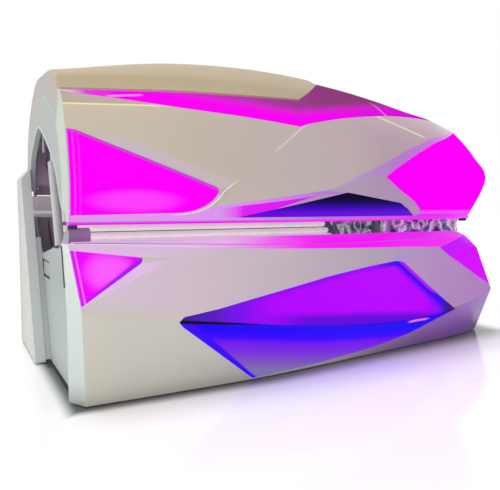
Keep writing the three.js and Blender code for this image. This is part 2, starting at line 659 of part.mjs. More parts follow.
const seamStart = fasciaGrid[1][3].clone().lerp(seamPoint(-0.93), (rimStart + 0.988) / 0.058);
const rimGrid = [
  [seamStart.setY(seamStart.y + GAP).setX(rimStart * HALF), basePoint(3, rimStart)],
  ...baseStations.map((u) => [seamPoint(u, GAP), basePoint(3, u)]),
];
const cornerGrid = [
  ...baseStations.slice(10).map((u) => [basePoint(1, u), basePoint(2, u), basePoint(3, u)]),
  fasciaGrid[fasciaGrid.length - 1].slice(1),
];
const fasciaSheet = sheet(fasciaGrid, 0, SKIN, false);
const baseWithin = sheet(fasciaGrid, 260, SKIN + GAP, false);

function fasciaY(x, z) {
  const u = x / HALF;
  const [floor, crease, edge] = [0, 1, 2].map((rail) => basePoint(rail, u));
  const [low, high] = z < crease.z ? [floor, crease] : [crease, edge];
  return THREE.MathUtils.mapLinear(z, low.z, high.z, low.y, high.y);
}

const triangleCorners = [[-0.966, 0.945], [-0.765, 0.893], [-0.775, 0.85], [-0.95, 0.625]];
const triangleOutline = softened(onBase(triangleCorners), 18);
const cornerOutline = onBase([[0.735, 0.853], [0.897, 0.688], [0.975, 0.56], [1.05, 0.42],
  [1.05, 0.99], [0.985, 0.965]]);
const upperEdge = [[-0.664, 0.476], [-0.395, 0.582], [0.091, 0.708], [0.43, 0.755], [0.738, 0.281]];
const lowerEdge = [[-0.664, 0.476], [-0.375, 0.034], [0.387, 0.158], [0.738, 0.281]];
const divide = [[-0.664, 0.487], [-0.407, 0.422], [-0.189, 0.355], [0.121, 0.292], [0.365, 0.257],
  [0.563, 0.264], [0.738, 0.281]];
const lineOf = (points) => straight(points.map(([u]) => u), points.map(([, w]) => w));
const recessOutline = softened(onBase([...upperEdge, ...lowerEdge.slice(1, -1).reverse()]), 22);
const frontWindow = (outline) => prism('y', outline, -2 * DEEP, -0.3 * DEEP);

function recessPanel(fromLine, toLine, fromDeep, toDeep, shift) {
  const stations = stationsBetween(-0.66, 0.732, 18);
  const grid = stations.map((u) => {
    const share = (u + 0.664) / (0.738 + 0.664);
    const deep = NOTCH_DEPTH * Math.sin(Math.PI * share) ** 0.8;
    const at = (w, amount, dz) => {
      const [x, z] = [u * HALF, baseZ(w) + dz];
      return new THREE.Vector3(x, fasciaY(x, z) + LENS_RECESS + deep * amount, z);
    };
    return [at(fromLine(u), fromDeep, shift[0]), at(toLine(u), toDeep, shift[1])];
  });
  const back = grid.map((row) => row.map((p) => p.clone().setY(p.y + LENS)));
  return slab(grid, back).intersect(frontWindow(inset(recessOutline, GAP / 2)));
}

const centreLens = recessPanel(lineOf(divide), lineOf(upperEdge), 1, 0, [GAP / 2, 4]);
const centreTray = recessPanel(lineOf(lowerEdge), lineOf(divide), 0, 1, [-4, -GAP / 2]);
const openFront = (solid, outline) => solid.subtract(frontWindow(inset(outline, -GAP / 2)));
const fascia = [triangleOutline, recessOutline, cornerOutline].reduce(openFront, fasciaSheet);
const frontRim = openFront(sheet(rimGrid, 0, SKIN), cornerOutline)
  .subtract(sheet(fasciaGrid, GAP, SKIN + GAP, false));
const triangleLens = sheet(fasciaGrid, -LENS_RECESS, LENS_RECESS + LENS, false)
  .intersect(frontWindow(inset(triangleOutline, GAP / 2)));
const cornerWithin = sheet(cornerGrid, 260, LENS + GAP, false);
const cornerLens = sheet(cornerGrid, 0, LENS, false).intersect(frontWindow(inset(cornerOutline, GAP / 2)));

// Lying surface, tubes and reflector of the base

const bedCurve = new THREE.CubicBezierCurve(
  new THREE.Vector2(-0.672 * DEEP, baseZ(0.965)), new THREE.Vector2(-0.47 * DEEP, baseZ(0.68)),
  new THREE.Vector2(0.31 * DEEP, baseZ(0.55)), new THREE.Vector2(0.66 * DEEP, baseZ(1.12)));
const bed = bedCurve.getPoints(20);
const bedRear = bed[bed.length - 1];
const BED_LIT = [0.2, 0.95];
const BED_RIGHT = HALF - HEAD_DECK;
const bedReflect = -reflectorSpread(0);
const baseAcrylic = prism('x', ribbon(bed, 0, -ACRYLIC), LAMP_LEFT, BED_RIGHT);
const reflectorBand = ribbon(bed, bedReflect, bedReflect - REFLECTOR, BED_LIT);
const baseReflector = prism('x', reflectorBand, LAMP_LEFT, BED_RIGHT);
const baseLamps = lampBank(bed, BED_LIT, 0, LAMP_LEFT, BED_RIGHT, BASE_TUBES, -1);

// Base frame on four levelling feet

const railTop = FRAME_BOTTOM + FRAME_SIZE;
const FRAME_X = HALF - 34;
const FRAME_Y0 = -0.575 * DEEP;
const FRAME_Y1 = 0.875 * DEEP;
const plateTop = FRAME_BOTTOM + FRAME_WALL;
const barFloor = FRAME_BOTTOM + 0.5;
const crossBar = (x) => block(x, x + CROSS_BAR, FRAME_Y0 + 2, FRAME_Y1 - 2, barFloor, plateTop - 0.5)
  .add(block(x, x + FRAME_WALL, FRAME_Y0 + 2, FRAME_Y1 - 2, barFloor, railTop - 1));
const MIDDLE_LEFT = -0.3 * HALF + 8;
const MIDDLE_RIGHT = 0.34 * HALF + 8;
const crossX = [-FRAME_X + 1, MIDDLE_LEFT, MIDDLE_RIGHT, FRAME_X - CROSS_BAR - 1];
const saddleTop = partOf(shifted(bed, bedReflect - REFLECTOR - GAP), ...BED_LIT);
const saddleEnds = [saddleTop[0][0], saddleTop[saddleTop.length - 1][0]];
const saddleOutline = [[saddleEnds[0], FRAME_BOTTOM + 2], ...saddleTop, [saddleEnds[1], FRAME_BOTTOM + 2]];
const saddleWindow = softened([[-0.3 * DEEP, railTop + 30], [0.3 * DEEP, railTop + 30],
  [0.3 * DEEP, baseZ(0.5)], [-0.3 * DEEP, baseZ(0.5)]], 30, 2);
const saddle = (x) => prism('x', saddleOutline, x + 0.5, x + FRAME_WALL - 0.5)
  .subtract(prism('x', saddleWindow, x - 1, x + FRAME_WALL + 1));
const DECK = 8;
const deckTop = baseZ(0.88);
const deckPost = (y) => block(FRAME_X - FRAME_SIZE, FRAME_X - 4, y + 0.5, y + FRAME_WALL - 0.5,
  FRAME_BOTTOM + 1, deckTop - DECK - GAP);

function strutFoot(side) {
  const plateX = side * (HALF - 27);
  const [x0, x1] = side < 0 ? [plateX, plateX + PANEL] : [plateX - PANEL, plateX];
  const pinEnd = side * (STRUT_X - 11);
  const [p0, p1] = side < 0 ? [x1 - 2, pinEnd] : [pinEnd, x0 + 2];
  const [y0, y1] = [STRUT_FOOT_Y - 28, STRUT_FOOT_Y + 28];
  const bar = block(x0, x1, y0, y1, FRAME_BOTTOM, STRUT_FOOT_Z + 20);
  const [t0, t1] = side < 0 ? [x0 + 1, -FRAME_X + 3] : [FRAME_X - 3, x1 - 1];
  const tie = block(t0, t1, y0 + 1, y1 - 1, FRAME_BOTTOM + 1, railTop - 2);
  return join([bar, tie, rod('x', STRUT_PIN, p0, p1, STRUT_FOOT_Y, STRUT_FOOT_Z, 16)]);
}

const stayAt = (u) => block(u * HALF, u * HALF + FRAME_SIZE, -1.1 * DEEP, FRAME_Y0 + 3,
  plateTop + 2, plateTop + 2 + FRAME_WALL);
const fasciaStays = [-0.6, 0, 0.6].map(stayAt);
const footSpots = [[-1, FRAME_Y0], [1, FRAME_Y0], [-1, FRAME_Y1], [1, FRAME_Y1]]
  .map(([side, y]) => [side * (FRAME_X - 90), y + (y < 0 ? 22 : -22)]);
const footPlate = ([x, y]) => block(x - 24, x + 24, y - 21, y + 21, FRAME_BOTTOM + 1, FRAME_BOTTOM + 8);
const footPlates = footSpots.map(footPlate);
const footBores = footSpots.map(([x, y]) => rod('z', 8 + GAP, 0, FRAME_BOTTOM + 60, x, y));
const frontNotch = [centreLens, centreTray].map((solid) => solid.translate([0, GAP, 0]));
const baseFrame = join([
  angleBar(FRAME_Y0, FRAME_BOTTOM, 1, 1, -FRAME_X, FRAME_X),
  angleBar(FRAME_Y1, FRAME_BOTTOM, 1, -1, -FRAME_X, FRAME_X),
  ...crossX.map(crossBar),
  saddle(-0.8 * HALF), saddle(MIDDLE_LEFT), saddle(MIDDLE_RIGHT),
  deckPost(FRAME_Y0), deckPost(FRAME_Y1 - FRAME_WALL),
  strutFoot(-1), strutFoot(1), ...fasciaStays, ...footPlates,
]).subtract(baseWithin).subtract(join(footBores)).subtract(join(frontNotch));
const DECK_LEFT = BED_RIGHT + GAP;
const deckFront = stationsBetween(DECK_LEFT / HALF, 0.96, 6).map((u) => [u * HALF, basePoint(3, u).y + 14]);
const deckSlot = block(STRUT_X - 26, HALF, STRUT_FOOT_Y - 34, STRUT_FOOT_Y + 34, 0, RIM_HEIGHT);
const headDeck = prism('z', [...deckFront, [HALF - 27, deckFront[6][1]], [HALF - 27, 0.9 * DEEP],
  [DECK_LEFT, 0.9 * DEEP]], deckTop - DECK, deckTop).subtract(deckSlot);

const feet = footSpots.map(([x, y]) => {
  const profile = [[0, 0], [FOOT_RADIUS, 0], [FOOT_RADIUS - 6, 12], [14, FRAME_BOTTOM - GAP],
    [8, FRAME_BOTTOM - GAP], [8, FRAME_BOTTOM + 34], [0, FRAME_BOTTOM + 34]];
  const geometry = new THREE.LatheGeometry(profile.map(([r, z]) => new THREE.Vector2(r, z)), 12);
  geometry.rotateX(Math.PI / 2);
  geometry.translate(x, y, 0);
  return solidFrom(geometry);
});

// End panels, hatches, hinge posts and pins

const END_PLANE = HALF - 18;
const hatchFront = STRUT_FOOT_Y + HATCH_BEHIND;
const hatch = { y0: hatchFront, y1: hatchFront + HATCH_LENGTH, z0: baseZ(0.66), z1: baseZ(0.8) };
const panelSide = (side, outer, inner) => (side < 0 ? [-outer, -inner] : [inner, outer]);
const backY = -fascia.boundingBox().min[1];
const rearTop = baseZ(1.19);
const rearRim = [[backY - SKIN - 4, rearTop - SKIN - 2], [bedRear.x + 6, bedRear.y + 6]];
const underRearRim = (y) => {
  const [[outY, outZ], [inY, inZ]] = rearRim;
  return THREE.MathUtils.mapLinear(y, outY, inY, outZ, inZ) - GAP;
};
const endRear = [[-0.15 * DEEP, baseZ(0.92)], [0.34 * DEEP, baseZ(0.84)], [0.52 * DEEP, baseZ(0.9)],
  [bedRear.x + 8, underRearRim(bedRear.x + 8)], [backY - SKIN - 5, underRearRim(backY - SKIN - 5)],
  [backY - SKIN - GAP, rearTop - SKIN - 8], [backY - SKIN - GAP, 14]];
const leftEndFront = [[-0.95 * DEEP, 14], [-0.95 * DEEP, baseZ(0.97)]];
const rightEndFront = [[-0.5 * DEEP, 14], [-0.66 * DEEP, baseZ(0.43)], [-0.5 * DEEP, baseZ(0.82)],
  [-0.46 * DEEP, baseZ(0.92)]];

function endPanel(side) {
  const [x0, x1] = panelSide(side, END_PLANE, END_PLANE - PANEL);
  const [t0, t1] = panelSide(side, END_PLANE - 2, END_PLANE - PANEL - 15);
  const [c0, c1] = panelSide(side, END_PLANE + 1, END_PLANE - PANEL - 11);
  return prism('x', [...(side < 0 ? leftEndFront : rightEndFront), ...endRear], x0, x1)
    .add(block(t0, t1, hatch.y0 - 5, hatch.y1 + 5, hatch.z0 - 5, hatch.z1 + 5))
    .subtract(block(c0, c1, hatch.y0, hatch.y1, hatch.z0, hatch.z1))
    .subtract(baseWithin).subtract(cornerWithin);
}

function hatchCover(side) {
  const [x0, x1] = panelSide(side, END_PLANE - 2, END_PLANE - PANEL - 11 + GAP);
  const outline = softened([[hatch.y0 + 8, hatch.z0 + 12], [hatch.y1 - 40, hatch.z0 + 12],
    [hatch.y1 - 40, hatch.z1 - 8], [hatch.y0 + 8, hatch.z1 - 8]], 8);
  return prism('x', outline, x0, x1);
}

const POST_INNER = HALF + POST_CLEARANCE;
const POST_OUTER = POST_INNER + POST_THICKNESS;
const postTop = HINGE_Z + 92;
const postOutline = softened([[HINGE_Y - 452, 6], [HINGE_Y - 84, postTop - 22], [HINGE_Y - 66, postTop],
  [HINGE_Y + 70, postTop], [HINGE_Y + 92, postTop - 30], [HINGE_Y + 92, 6]], 14, 3);

const hollowTop = HINGE_Z - 3 * PIN_RADIUS;
const postHollow = [[HINGE_Y - 418, -10], [HINGE_Y - 118, hollowTop], [HINGE_Y + 84, hollowTop],
  [HINGE_Y + 84, -10]];

function hingePost(side) {
  const [x0, x1] = panelSide(side, POST_OUTER, POST_INNER);
  const [s0, s1] = panelSide(side, POST_INNER + 1, END_PLANE + GAP);
  const spacerTop = baseZ(0.7);
  const spacer = prism('x', [[HINGE_Y - 410, 40], [HINGE_Y - 240, spacerTop], [HINGE_Y + 60, spacerTop],
    [HINGE_Y + 60, 40]], s0, s1);
  const slope = prism('y', [[side * POST_OUTER, postTop - 48], [side * (POST_OUTER + 60), postTop - 48],
    [side * (POST_OUTER + 60), postTop + 60], [side * (POST_INNER + 4), postTop + 60],
    [side * (POST_INNER + 4), postTop]], -FAR, FAR);
  const [b0, b1] = panelSide(side, POST_OUTER - 8, POST_INNER - 1);
  const [h0, h1] = panelSide(side, POST_OUTER - FRAME_WALL, POST_INNER + FRAME_WALL);
  const hollow = prism('x', postHollow, h0, h1);
  return prism('x', postOutline, x0, x1)
    .subtract(slope)
    .subtract(hollow)
    .add(spacer)
    .subtract(hingeBore(b0, b1));
}

function hingePin(side) {
  const [x0, x1] = panelSide(side, POST_OUTER - 8 - GAP, SHELL_END - PANEL - 8);
  const [c0, c1] = panelSide(side, SHELL_END - PANEL - GAP, SHELL_END - PANEL - 6);
  const collar = rod('x', PIN_RADIUS + 6, c0, c1, HINGE_Y, HINGE_Z);
  return rod('x', PIN_RADIUS, x0, x1, HINGE_Y, HINGE_Z).add(collar);
}

// Rear panel with louvres and the mains inlet

const skirtTop = HINGE_Z - 35;
const rearOutline = [[backY, 16], [backY, skirtTop], [backY - SKIN, skirtTop], [backY - SKIN, rearTop],
  [bedRear.x + 6, bedRear.y + 12],
  rearRim[1], rearRim[0], [backY - SKIN, rearTop - SKIN - 6], [backY - SKIN, 16]];
const louvreFloor = (k) => baseZ(0.3) + k * 26;
const louvreRow = (u) => [0, 1, 2, 3, 4, 5].map((k) => block(u * HALF, (u + 0.28) * HALF,
  backY - 20, backY + 5, louvreFloor(k), louvreFloor(k) + 9));
const louvres = [-0.62, 0.34].flatMap(louvreRow);
const INLET_X = -0.82 * HALF;
const INLET_Z = baseZ(0.24);
const rearCover = prism('x', rearOutline, -END_PLANE, END_PLANE)
  .subtract(join(louvres))
  .subtract(rod('y', 15 + GAP, backY - 30, backY + 5, INLET_X, INLET_Z));
const mainsInlet = rod('y', 15, backY - 34, backY - 1, INLET_X, INLET_Z)
  .add(rod('y', 24, backY - SKIN - GAP - 8, backY - SKIN - GAP, INLET_X, INLET_Z, 6))
  .subtract(rod('y', 8, backY - 40, backY + 5, INLET_X, INLET_Z, 16));

// Foot-end trim beside the lying surface

const TRIM_END = LAMP_LEFT + 26;
const TRIM_REAR_END = LAMP_LEFT + 6;
const trimFloor = (end) => partOf(shifted(bed, 12), 0.05, end);
const trimCrest = [[-0.445, 0.996], [-0.5, 1.05], [-0.6, 1.085], [-0.642, 1.07], [-0.65, 1.03]]
  .map(([v, w]) => [v * DEEP, baseZ(w)]);
const trimRear = [-0.36 * DEEP, baseZ(0.965)];
const trimStart = -END_PLANE + PANEL + GAP;
const footTrim = prism('x', [...trimFloor(0.2), ...trimCrest], trimStart, TRIM_END)
  .add(prism('x', [...trimFloor(0.4), trimRear, ...trimCrest], trimStart, TRIM_REAR_END));

// Fan and control gear under the lying surface

const FAN_X = -0.32 * HALF + 260;
const FAN_Y = 0.06 * DEEP;
const fanFloor = plateTop + GAP;
const fanHousing = block(FAN_X - 130, FAN_X + 130, FAN_Y - 130, FAN_Y + 130, fanFloor, fanFloor + 74)
  .subtract(rod('z', FAN_RADIUS + 6, fanFloor + 12, fanFloor + 90, FAN_X, FAN_Y, 32))
  .subtract(rod('z', 60, fanFloor - 5, fanFloor + 20, FAN_X, FAN_Y, 24))
  .add(block(FAN_X - 125, FAN_X + 125, FAN_Y - 9, FAN_Y + 9, fanFloor, fanFloor + 8))
  .add(rod('z', 9, fanFloor, fanFloor + 26, FAN_X, FAN_Y, 16));
const fanBlade = (k) => {
  const geometry = new THREE.BoxGeometry(FAN_RADIUS - 18, 3, 34);
  geometry.translate((FAN_RADIUS - 18) / 2 + 16, 0, 0);
  geometry.rotateX(0.5);
  geometry.rotateZ(k * Math.PI * 2 / 7);
  geometry.translate(FAN_X, FAN_Y, fanFloor + 48);
  return solidFrom(geometry);
};
const fanRotor = join([rod('z', 26, fanFloor + 26 + GAP, fanFloor + 70, FAN_X, FAN_Y, 24),
  ...[0, 1, 2, 3, 4, 5, 6].map(fanBlade)]);

const shelf = (x0, x1, y) => block(x0, x1, y - 12, y + 12, FRAME_BOTTOM, plateTop);
const fanShelf = [-110, 110].map((side) => shelf(MIDDLE_LEFT + 2, MIDDLE_RIGHT + 2, FAN_Y + side));
const gearX0 = MIDDLE_RIGHT + FRAME_SIZE + 30;
const gearX1 = FRAME_X - GEAR_INSET;
const gearPitch = (gearX1 - gearX0) / 6;
const gearBox = (k) => block(gearX0 + (k + 0.25) * gearPitch, gearX0 + (k + 0.75) * gearPitch,
  -0.1 * DEEP, 0.3 * DEEP, fanFloor + 5, fanFloor + 48);
const gearTray = block(gearX0, gearX1, -0.3 * DEEP, 0.5 * DEEP, fanFloor, fanFloor + 6)
  .add(join([0, 1, 2, 3, 4, 5].map(gearBox)));
const gearShelf = [-0.25, 0.45].map((v) => shelf(MIDDLE_RIGHT + 3, FRAME_X - 3, v * DEEP));
const fullFrame = join([baseFrame, ...fanShelf, ...gearShelf]);

// Lift struts: a sleeve on the base and a rod on the canopy

const strutWay = new THREE.Vector2(STRUT_HEAD_Y - STRUT_FOOT_Y, STRUT_HEAD_Z - STRUT_FOOT_Z);
const strutLength = strutWay.length();
const strutTilt = Math.atan2(strutWay.x, strutWay.y);
const SLEEVE_LENGTH = 0.85 * strutLength;
const ROD_LENGTH = 0.79 * strutLength;

function strutSolid(geometry, x, y, z) {
  geometry.rotateX(Math.PI / 2);
  geometry.rotateX(-strutTilt);
  geometry.translate(x, y, z);
  return solidFrom(geometry);
}

function strutBar(radius, from, to, x, y, z, segments = ROUND) {
  const geometry = new THREE.CylinderGeometry(radius, radius, to - from, segments);
  geometry.translate(0, (from + to) / 2, 0);
  return strutSolid(geometry, x, y, z);
}

function strutEye(x, y, z, radius) {
  return [rod('x', radius, x - 8, x + 8, y, z), rod('x', clearing(STRUT_PIN), x - 20, x + 20, y, z)];
}

function strutSleeve(side) {
  const x = side * STRUT_X;
  const [eye, bore] = strutEye(x, STRUT_FOOT_Y, STRUT_FOOT_Z, 16);
  const tube = strutBar(SLEEVE_RADIUS, 24, SLEEVE_LENGTH, x, STRUT_FOOT_Y, STRUT_FOOT_Z);
  const hollow = strutBar(SLEEVE_BORE, 34, SLEEVE_LENGTH + 10, x, STRUT_FOOT_Y, STRUT_FOOT_Z);
  const neck = strutBar(7, 4, 30, x, STRUT_FOOT_Y, STRUT_FOOT_Z, 12);
  return join([tube, neck, eye]).subtract(hollow).subtract(bore);
}

function strutRod(side) {
  const x = side * STRUT_X;
  const [eye, bore] = strutEye(x, STRUT_HEAD_Y, STRUT_HEAD_Z, 15);
  const bar = strutBar(ROD_RADIUS, -ROD_LENGTH, -4, x, STRUT_HEAD_Y, STRUT_HEAD_Z, 10);
  return bar.add(eye).subtract(bore);
}

// Assembly

const bed3d = new THREE.Group();
bed3d.name = 'tanning_bed';

function place(name, solid, color, roughness, metalness = 0, extra = {}) {
  const material = new THREE.MeshStandardMaterial({ color, roughness, metalness, ...extra });
  const mesh = new THREE.Mesh(geometryOf(solid), material);
  mesh.name = name;
  bed3d.add(mesh);
}

const WHITE = 0xe9e4ea;
const MINT = 0xdfe8e4;
const MAGENTA = 0xff00ff;
const lit = (color) => ({ emissive: color, emissiveIntensity: 0.8 });

place('base_frame', fullFrame, 0x6f7276, 0.5, 0.8);
feet.forEach((solid, k) => place(`levelling_foot_${k + 1}`, solid, 0x2a2a2c, 0.7));
place('base_front_fascia', fascia, WHITE, 0.3);
place('base_front_rim', frontRim, 0xf0d8ee, 0.2);
place('base_left_light', triangleLens, MAGENTA, 0.3, 0, lit(MAGENTA));
place('base_centre_light', centreLens, 0xb400ff, 0.3, 0, lit(0xb400ff));
place('base_centre_tray', centreTray, 0x6a50c8, 0.35);
place('base_corner_light', cornerLens, MAGENTA, 0.3, 0, lit(MAGENTA));
place('base_acrylic', baseAcrylic, 0xdcd6ee, 0.1, 0, { transparent: true, opacity: 0.4 });
place('base_reflector', baseReflector, 0xd8d8dc, 0.15, 1);
place('base_lamp_bank', baseLamps, 0xf2eefc, 0.3);
place('foot_end_trim', footTrim, 0xb9a6cc, 0.4);
place('head_end_deck', headDeck, WHITE, 0.4);
place('base_rear_panel', rearCover, WHITE, 0.45);
place('mains_inlet', mainsInlet, 0x3a3a3d, 0.6);
place('fan_housing', fanHousing, 0x4b4e52, 0.6);
place('fan_rotor', fanRotor, 0x2c2e31, 0.5);
place('control_gear_tray', gearTray, 0x8c8f94, 0.4, 0.7);
[[-1, 'left'], [1, 'right']].forEach(([side, hand]) => {
  place(`${hand}_end_panel`, endPanel(side), MINT, 0.4);
  place(`${hand}_hatch_cover`, hatchCover(side), MINT, 0.4);
  place(`${hand}_hinge_post`, hingePost(side), MINT, 0.4);
  place(`${hand}_hinge_pin`, hingePin(side), 0xb8babd, 0.25, 1);
  place(`${hand}_strut_sleeve`, strutSleeve(side), 0xdfe3e2, 0.35);
  place(`${hand}_strut_rod`, strutRod(side), 0xc8cacd, 0.15, 1);
  place(`${hand}_corner_buffer`, cornerBuffer(side), 0x26262a, 0.8);
});
place('canopy_frame', canopyFrame, 0x6f7276, 0.5, 0.8);
place('canopy_front_panel', frontPanel, WHITE, 0.25);
place('canopy_roof_cover', roofPanel, 0xbfae8e, 0.45);
place('canopy_top_light', topLens, 0xc010b0, 0.25, 0, lit(0xc010b0));
place('canopy_left_light', leftLens, MAGENTA, 0.3, 0, lit(MAGENTA));
place('canopy_nose_light', noseLens, MAGENTA, 0.3, 0, lit(MAGENTA));
place('canopy_glow_strip', glowLens, MAGENTA, 0.3, 0, lit(MAGENTA));
place('canopy_visor', visor, 0x140a30, 0.1);
place('canopy_lower_rim', lowerRim, 0xf4d6ee, 0.25);
place('canopy_left_end_cap', leftCap, MINT, 0.4);
place('canopy_right_end_cap', rightCap, MINT, 0.4);
place('canopy_rear_panel', rearPanel, WHITE, 0.4);
place('canopy_acrylic', canopyAcrylic, 0xdcd6ee, 0.1, 0, { transparent: true, opacity: 0.4 });
place('canopy_reflector', canopyReflector, 0xd8d8dc, 0.15, 1);
place('canopy_lamp_bank', canopyLamps, 0xf2eefc, 0.3);
place('head_end_liner', headLiner, 0xece8f0, 0.4);
place('face_filter', faceFilter, 0x6a5a90, 0.1);
faceLamps.forEach((solid, k) => place(`face_lamp_${k + 1}`, solid, 0xf2f2f6, 0.2));
place('face_lamp_hood', faceHood, 0xd0d0d4, 0.2, 0.9);
place('head_console', headConsole, 0x3c3a46, 0.4);
buttons.forEach((solid, k) => place(`console_button_${k + 1}`, solid, 0xd8d8de, 0.4));
place('air_nozzle', nozzles[0], 0x55535f, 0.4);

export default bed3d;
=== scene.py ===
import math
import bmesh
import bpy
import numpy as np
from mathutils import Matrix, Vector
from mathutils.geometry import delaunay_2d_cdt


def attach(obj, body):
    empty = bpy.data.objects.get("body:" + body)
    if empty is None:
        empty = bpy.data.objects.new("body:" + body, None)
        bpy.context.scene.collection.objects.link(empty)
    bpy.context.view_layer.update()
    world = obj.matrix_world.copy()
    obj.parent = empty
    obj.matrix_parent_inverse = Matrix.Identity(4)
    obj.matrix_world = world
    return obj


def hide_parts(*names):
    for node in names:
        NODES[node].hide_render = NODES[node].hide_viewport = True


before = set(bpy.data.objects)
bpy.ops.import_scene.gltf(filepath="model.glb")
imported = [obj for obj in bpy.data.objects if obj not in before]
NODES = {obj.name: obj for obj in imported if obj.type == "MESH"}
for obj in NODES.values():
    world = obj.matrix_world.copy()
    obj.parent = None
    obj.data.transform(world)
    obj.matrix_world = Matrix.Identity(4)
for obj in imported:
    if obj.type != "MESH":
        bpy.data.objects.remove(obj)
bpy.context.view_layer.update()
scene = bpy.context.scene

# Sizes of the CAD model, in metres
HALF, DEEP = 1.14, 0.645
LIP, CANOPY, RIM = 0.653, 0.762, 0.577
FLOOR_GAP = 0.004
SHELL_END = 1.1177


# Forms: the same rails as the CAD model

def along(stations, values):
    st, va = np.array(stations, float), np.array(values, float)
    n = len(st)
    lo, hi = [max(k - 1, 0) for k in range(n)], [min(k + 1, n - 1) for k in range(n)]
    slope = (va[hi] - va[lo]) / (st[hi] - st[lo])

    def at(s):
        s = np.clip(np.asarray(s, float), st[0], st[-1])
        i = np.clip(np.searchsorted(st, s) - 1, 0, n - 2)
        h = st[i + 1] - st[i]
        t = (s - st[i]) / h
        near = va[i] * (1 + 2 * t) * (1 - t) ** 2 + slope[i] * h * t * (1 - t) ** 2
        return near + va[i + 1] * t * t * (3 - 2 * t) + slope[i + 1] * h * t * t * (t - 1)
    return at


STATIONS = [-1, -0.553, -0.138, 0.277, 0.692, 1]
RAILS = [
    ([-0.807, -0.851, -0.866, -0.837, -0.749, -0.55], [0, 0, 0, 0, 0, 0]),
    ([-0.822, -0.881, -0.895, -0.881, -0.822, -0.731], [0.211, 0.211, 0.211, 0.224, 0.243, 0.267]),
    ([-0.727, -0.778, -0.793, -0.778, -0.719, -0.608], [0.522, 0.547, 0.547, 0.534, 0.49, 0.43]),
    ([-0.587, -0.631, -0.646, -0.616, -0.528, -0.367], [0.677, 0.715, 0.723, 0.721, 0.688, 0.635]),
    ([-0.521, -0.543, -0.543, -0.499, -0.382, -0.22], [0.722, 0.792, 0.803, 0.785, 0.737, 0.683]),
    ([-0.323, -0.294, -0.294, -0.264, -0.205, -0.091], [0.772, 0.888, 0.915, 0.88, 0.8, 0.738]),
    ([-0.073, 0, 0, 0, 0.015, 0.073], [0.79, 0.921, 0.958, 0.922, 0.84, 0.782]),
    ([0.2, 0.233, 0.233, 0.233, 0.233, 0.233], [0.8, 0.914, 0.952, 0.915, 0.836, 0.772]),
    ([0.419, 0.481, 0.481, 0.481, 0.481, 0.465], [0.738, 0.828, 0.864, 0.83, 0.762, 0.695]),
    ([0.62, 0.682, 0.682, 0.682, 0.667, 0.636], [0.643, 0.694, 0.728, 0.708, 0.655, 0.592]),
    ([0.747, 0.837, 0.845, 0.845, 0.829, 0.775], [0.521, 0.534, 0.554, 0.541, 0.514, 0.482]),
    ([0.814, 0.922, 0.93, 0.93, 0.915, 0.837], [0.39, 0.364, 0.37, 0.364, 0.357, 0.337]),
    ([0.829, 0.93, 0.938, 0.938, 0.922, 0.845], [0.193] * 6),
]
RAILS = [(along(STATIONS, v), along(STATIONS, w)) for v, w in RAILS]


def canopy_z(w):
    return LIP + np.asarray(w, float) * CANOPY


def section(x, k):
    """Y and Z of the canopy skin at station x and rail place k."""
    x, k = np.broadcast_arrays(np.asarray(x, float), np.asarray(k, float))
    u = x / HALF
    knots = np.array([[v(u) * DEEP, canopy_z(w(u))] for v, w in RAILS])
    i = np.clip(np.floor(k).astype(int), 0, 11)
    t = k - i
    cols = tuple(np.indices(k.shape))

    def pick(j):
        j = np.clip(j, 0, 12)
        return np.stack([knots[(j, 0) + cols], knots[(j, 1) + cols]])
    p0, p1, p2, p3 = pick(i - 1), pick(i), pick(i + 1), pick(i + 2)
    v0, v1 = (p2 - p0) * 0.5, (p3 - p1) * 0.5
    out = (2 * p1 - 2 * p2 + v0 + v1) * t ** 3 + (-3 * p1 + 3 * p2 - 2 * v0 - v1) * t ** 2 + v0 * t + p1
    return out[0], out[1]


def canopy_k(x, z):
    """Rail place of a point on the canopy front, from its x and z."""
    x, z = np.broadcast_arrays(np.asarray(x, float), np.asarray(z, float))
    a, b = np.zeros(x.shape), np.full(x.shape, 6.0)
    for _ in range(30):
        m = (a + b) / 2
        up = section(x, m)[1] < z
        a, b = np.where(up, m, a), np.where(up, b, m)
    return (a + b) / 2


# Girth of the canopy at its middle, so that flat maps of the skin keep its proportions
GIRTH_K = np.linspace(0, 12, 241)
_y, _z = section(np.zeros(241), GIRTH_K)
GIRTH = np.concatenate([[0], np.cumsum(np.hypot(np.diff(_y), np.diff(_z)))])


def to_girth(k):
    return np.interp(k, GIRTH_K, GIRTH)


def to_k(s):
    return np.interp(s, GIRTH, GIRTH_K)


def canopy_point(x, k, lift=0.0):
    """Points on the canopy skin, moved outwards by lift."""
    x, k = np.broadcast_arrays(np.asarray(x, float), np.asarray(k, float))
    y, z = section(x, k)
    e = 0.004
    y1, z1 = section(np.clip(x + e, -HALF, HALF), k)
    y0, z0 = section(np.clip(x - e, -HALF, HALF), k)
    ky1, kz1 = section(x, np.minimum(k + 0.02, 12))
    ky0, kz0 = section(x, np.maximum(k - 0.02, 0))
    run = np.stack([np.full(x.shape, 2 * e), y1 - y0, z1 - z0], -1)
    rise = np.stack([np.zeros(x.shape), ky1 - ky0, kz1 - kz0], -1)
    normal = np.cross(run, rise)
    normal /= np.linalg.norm(normal, axis=-1, keepdims=True)
    return np.stack([x, y, z], -1) + normal * np.asarray(lift)[..., None]


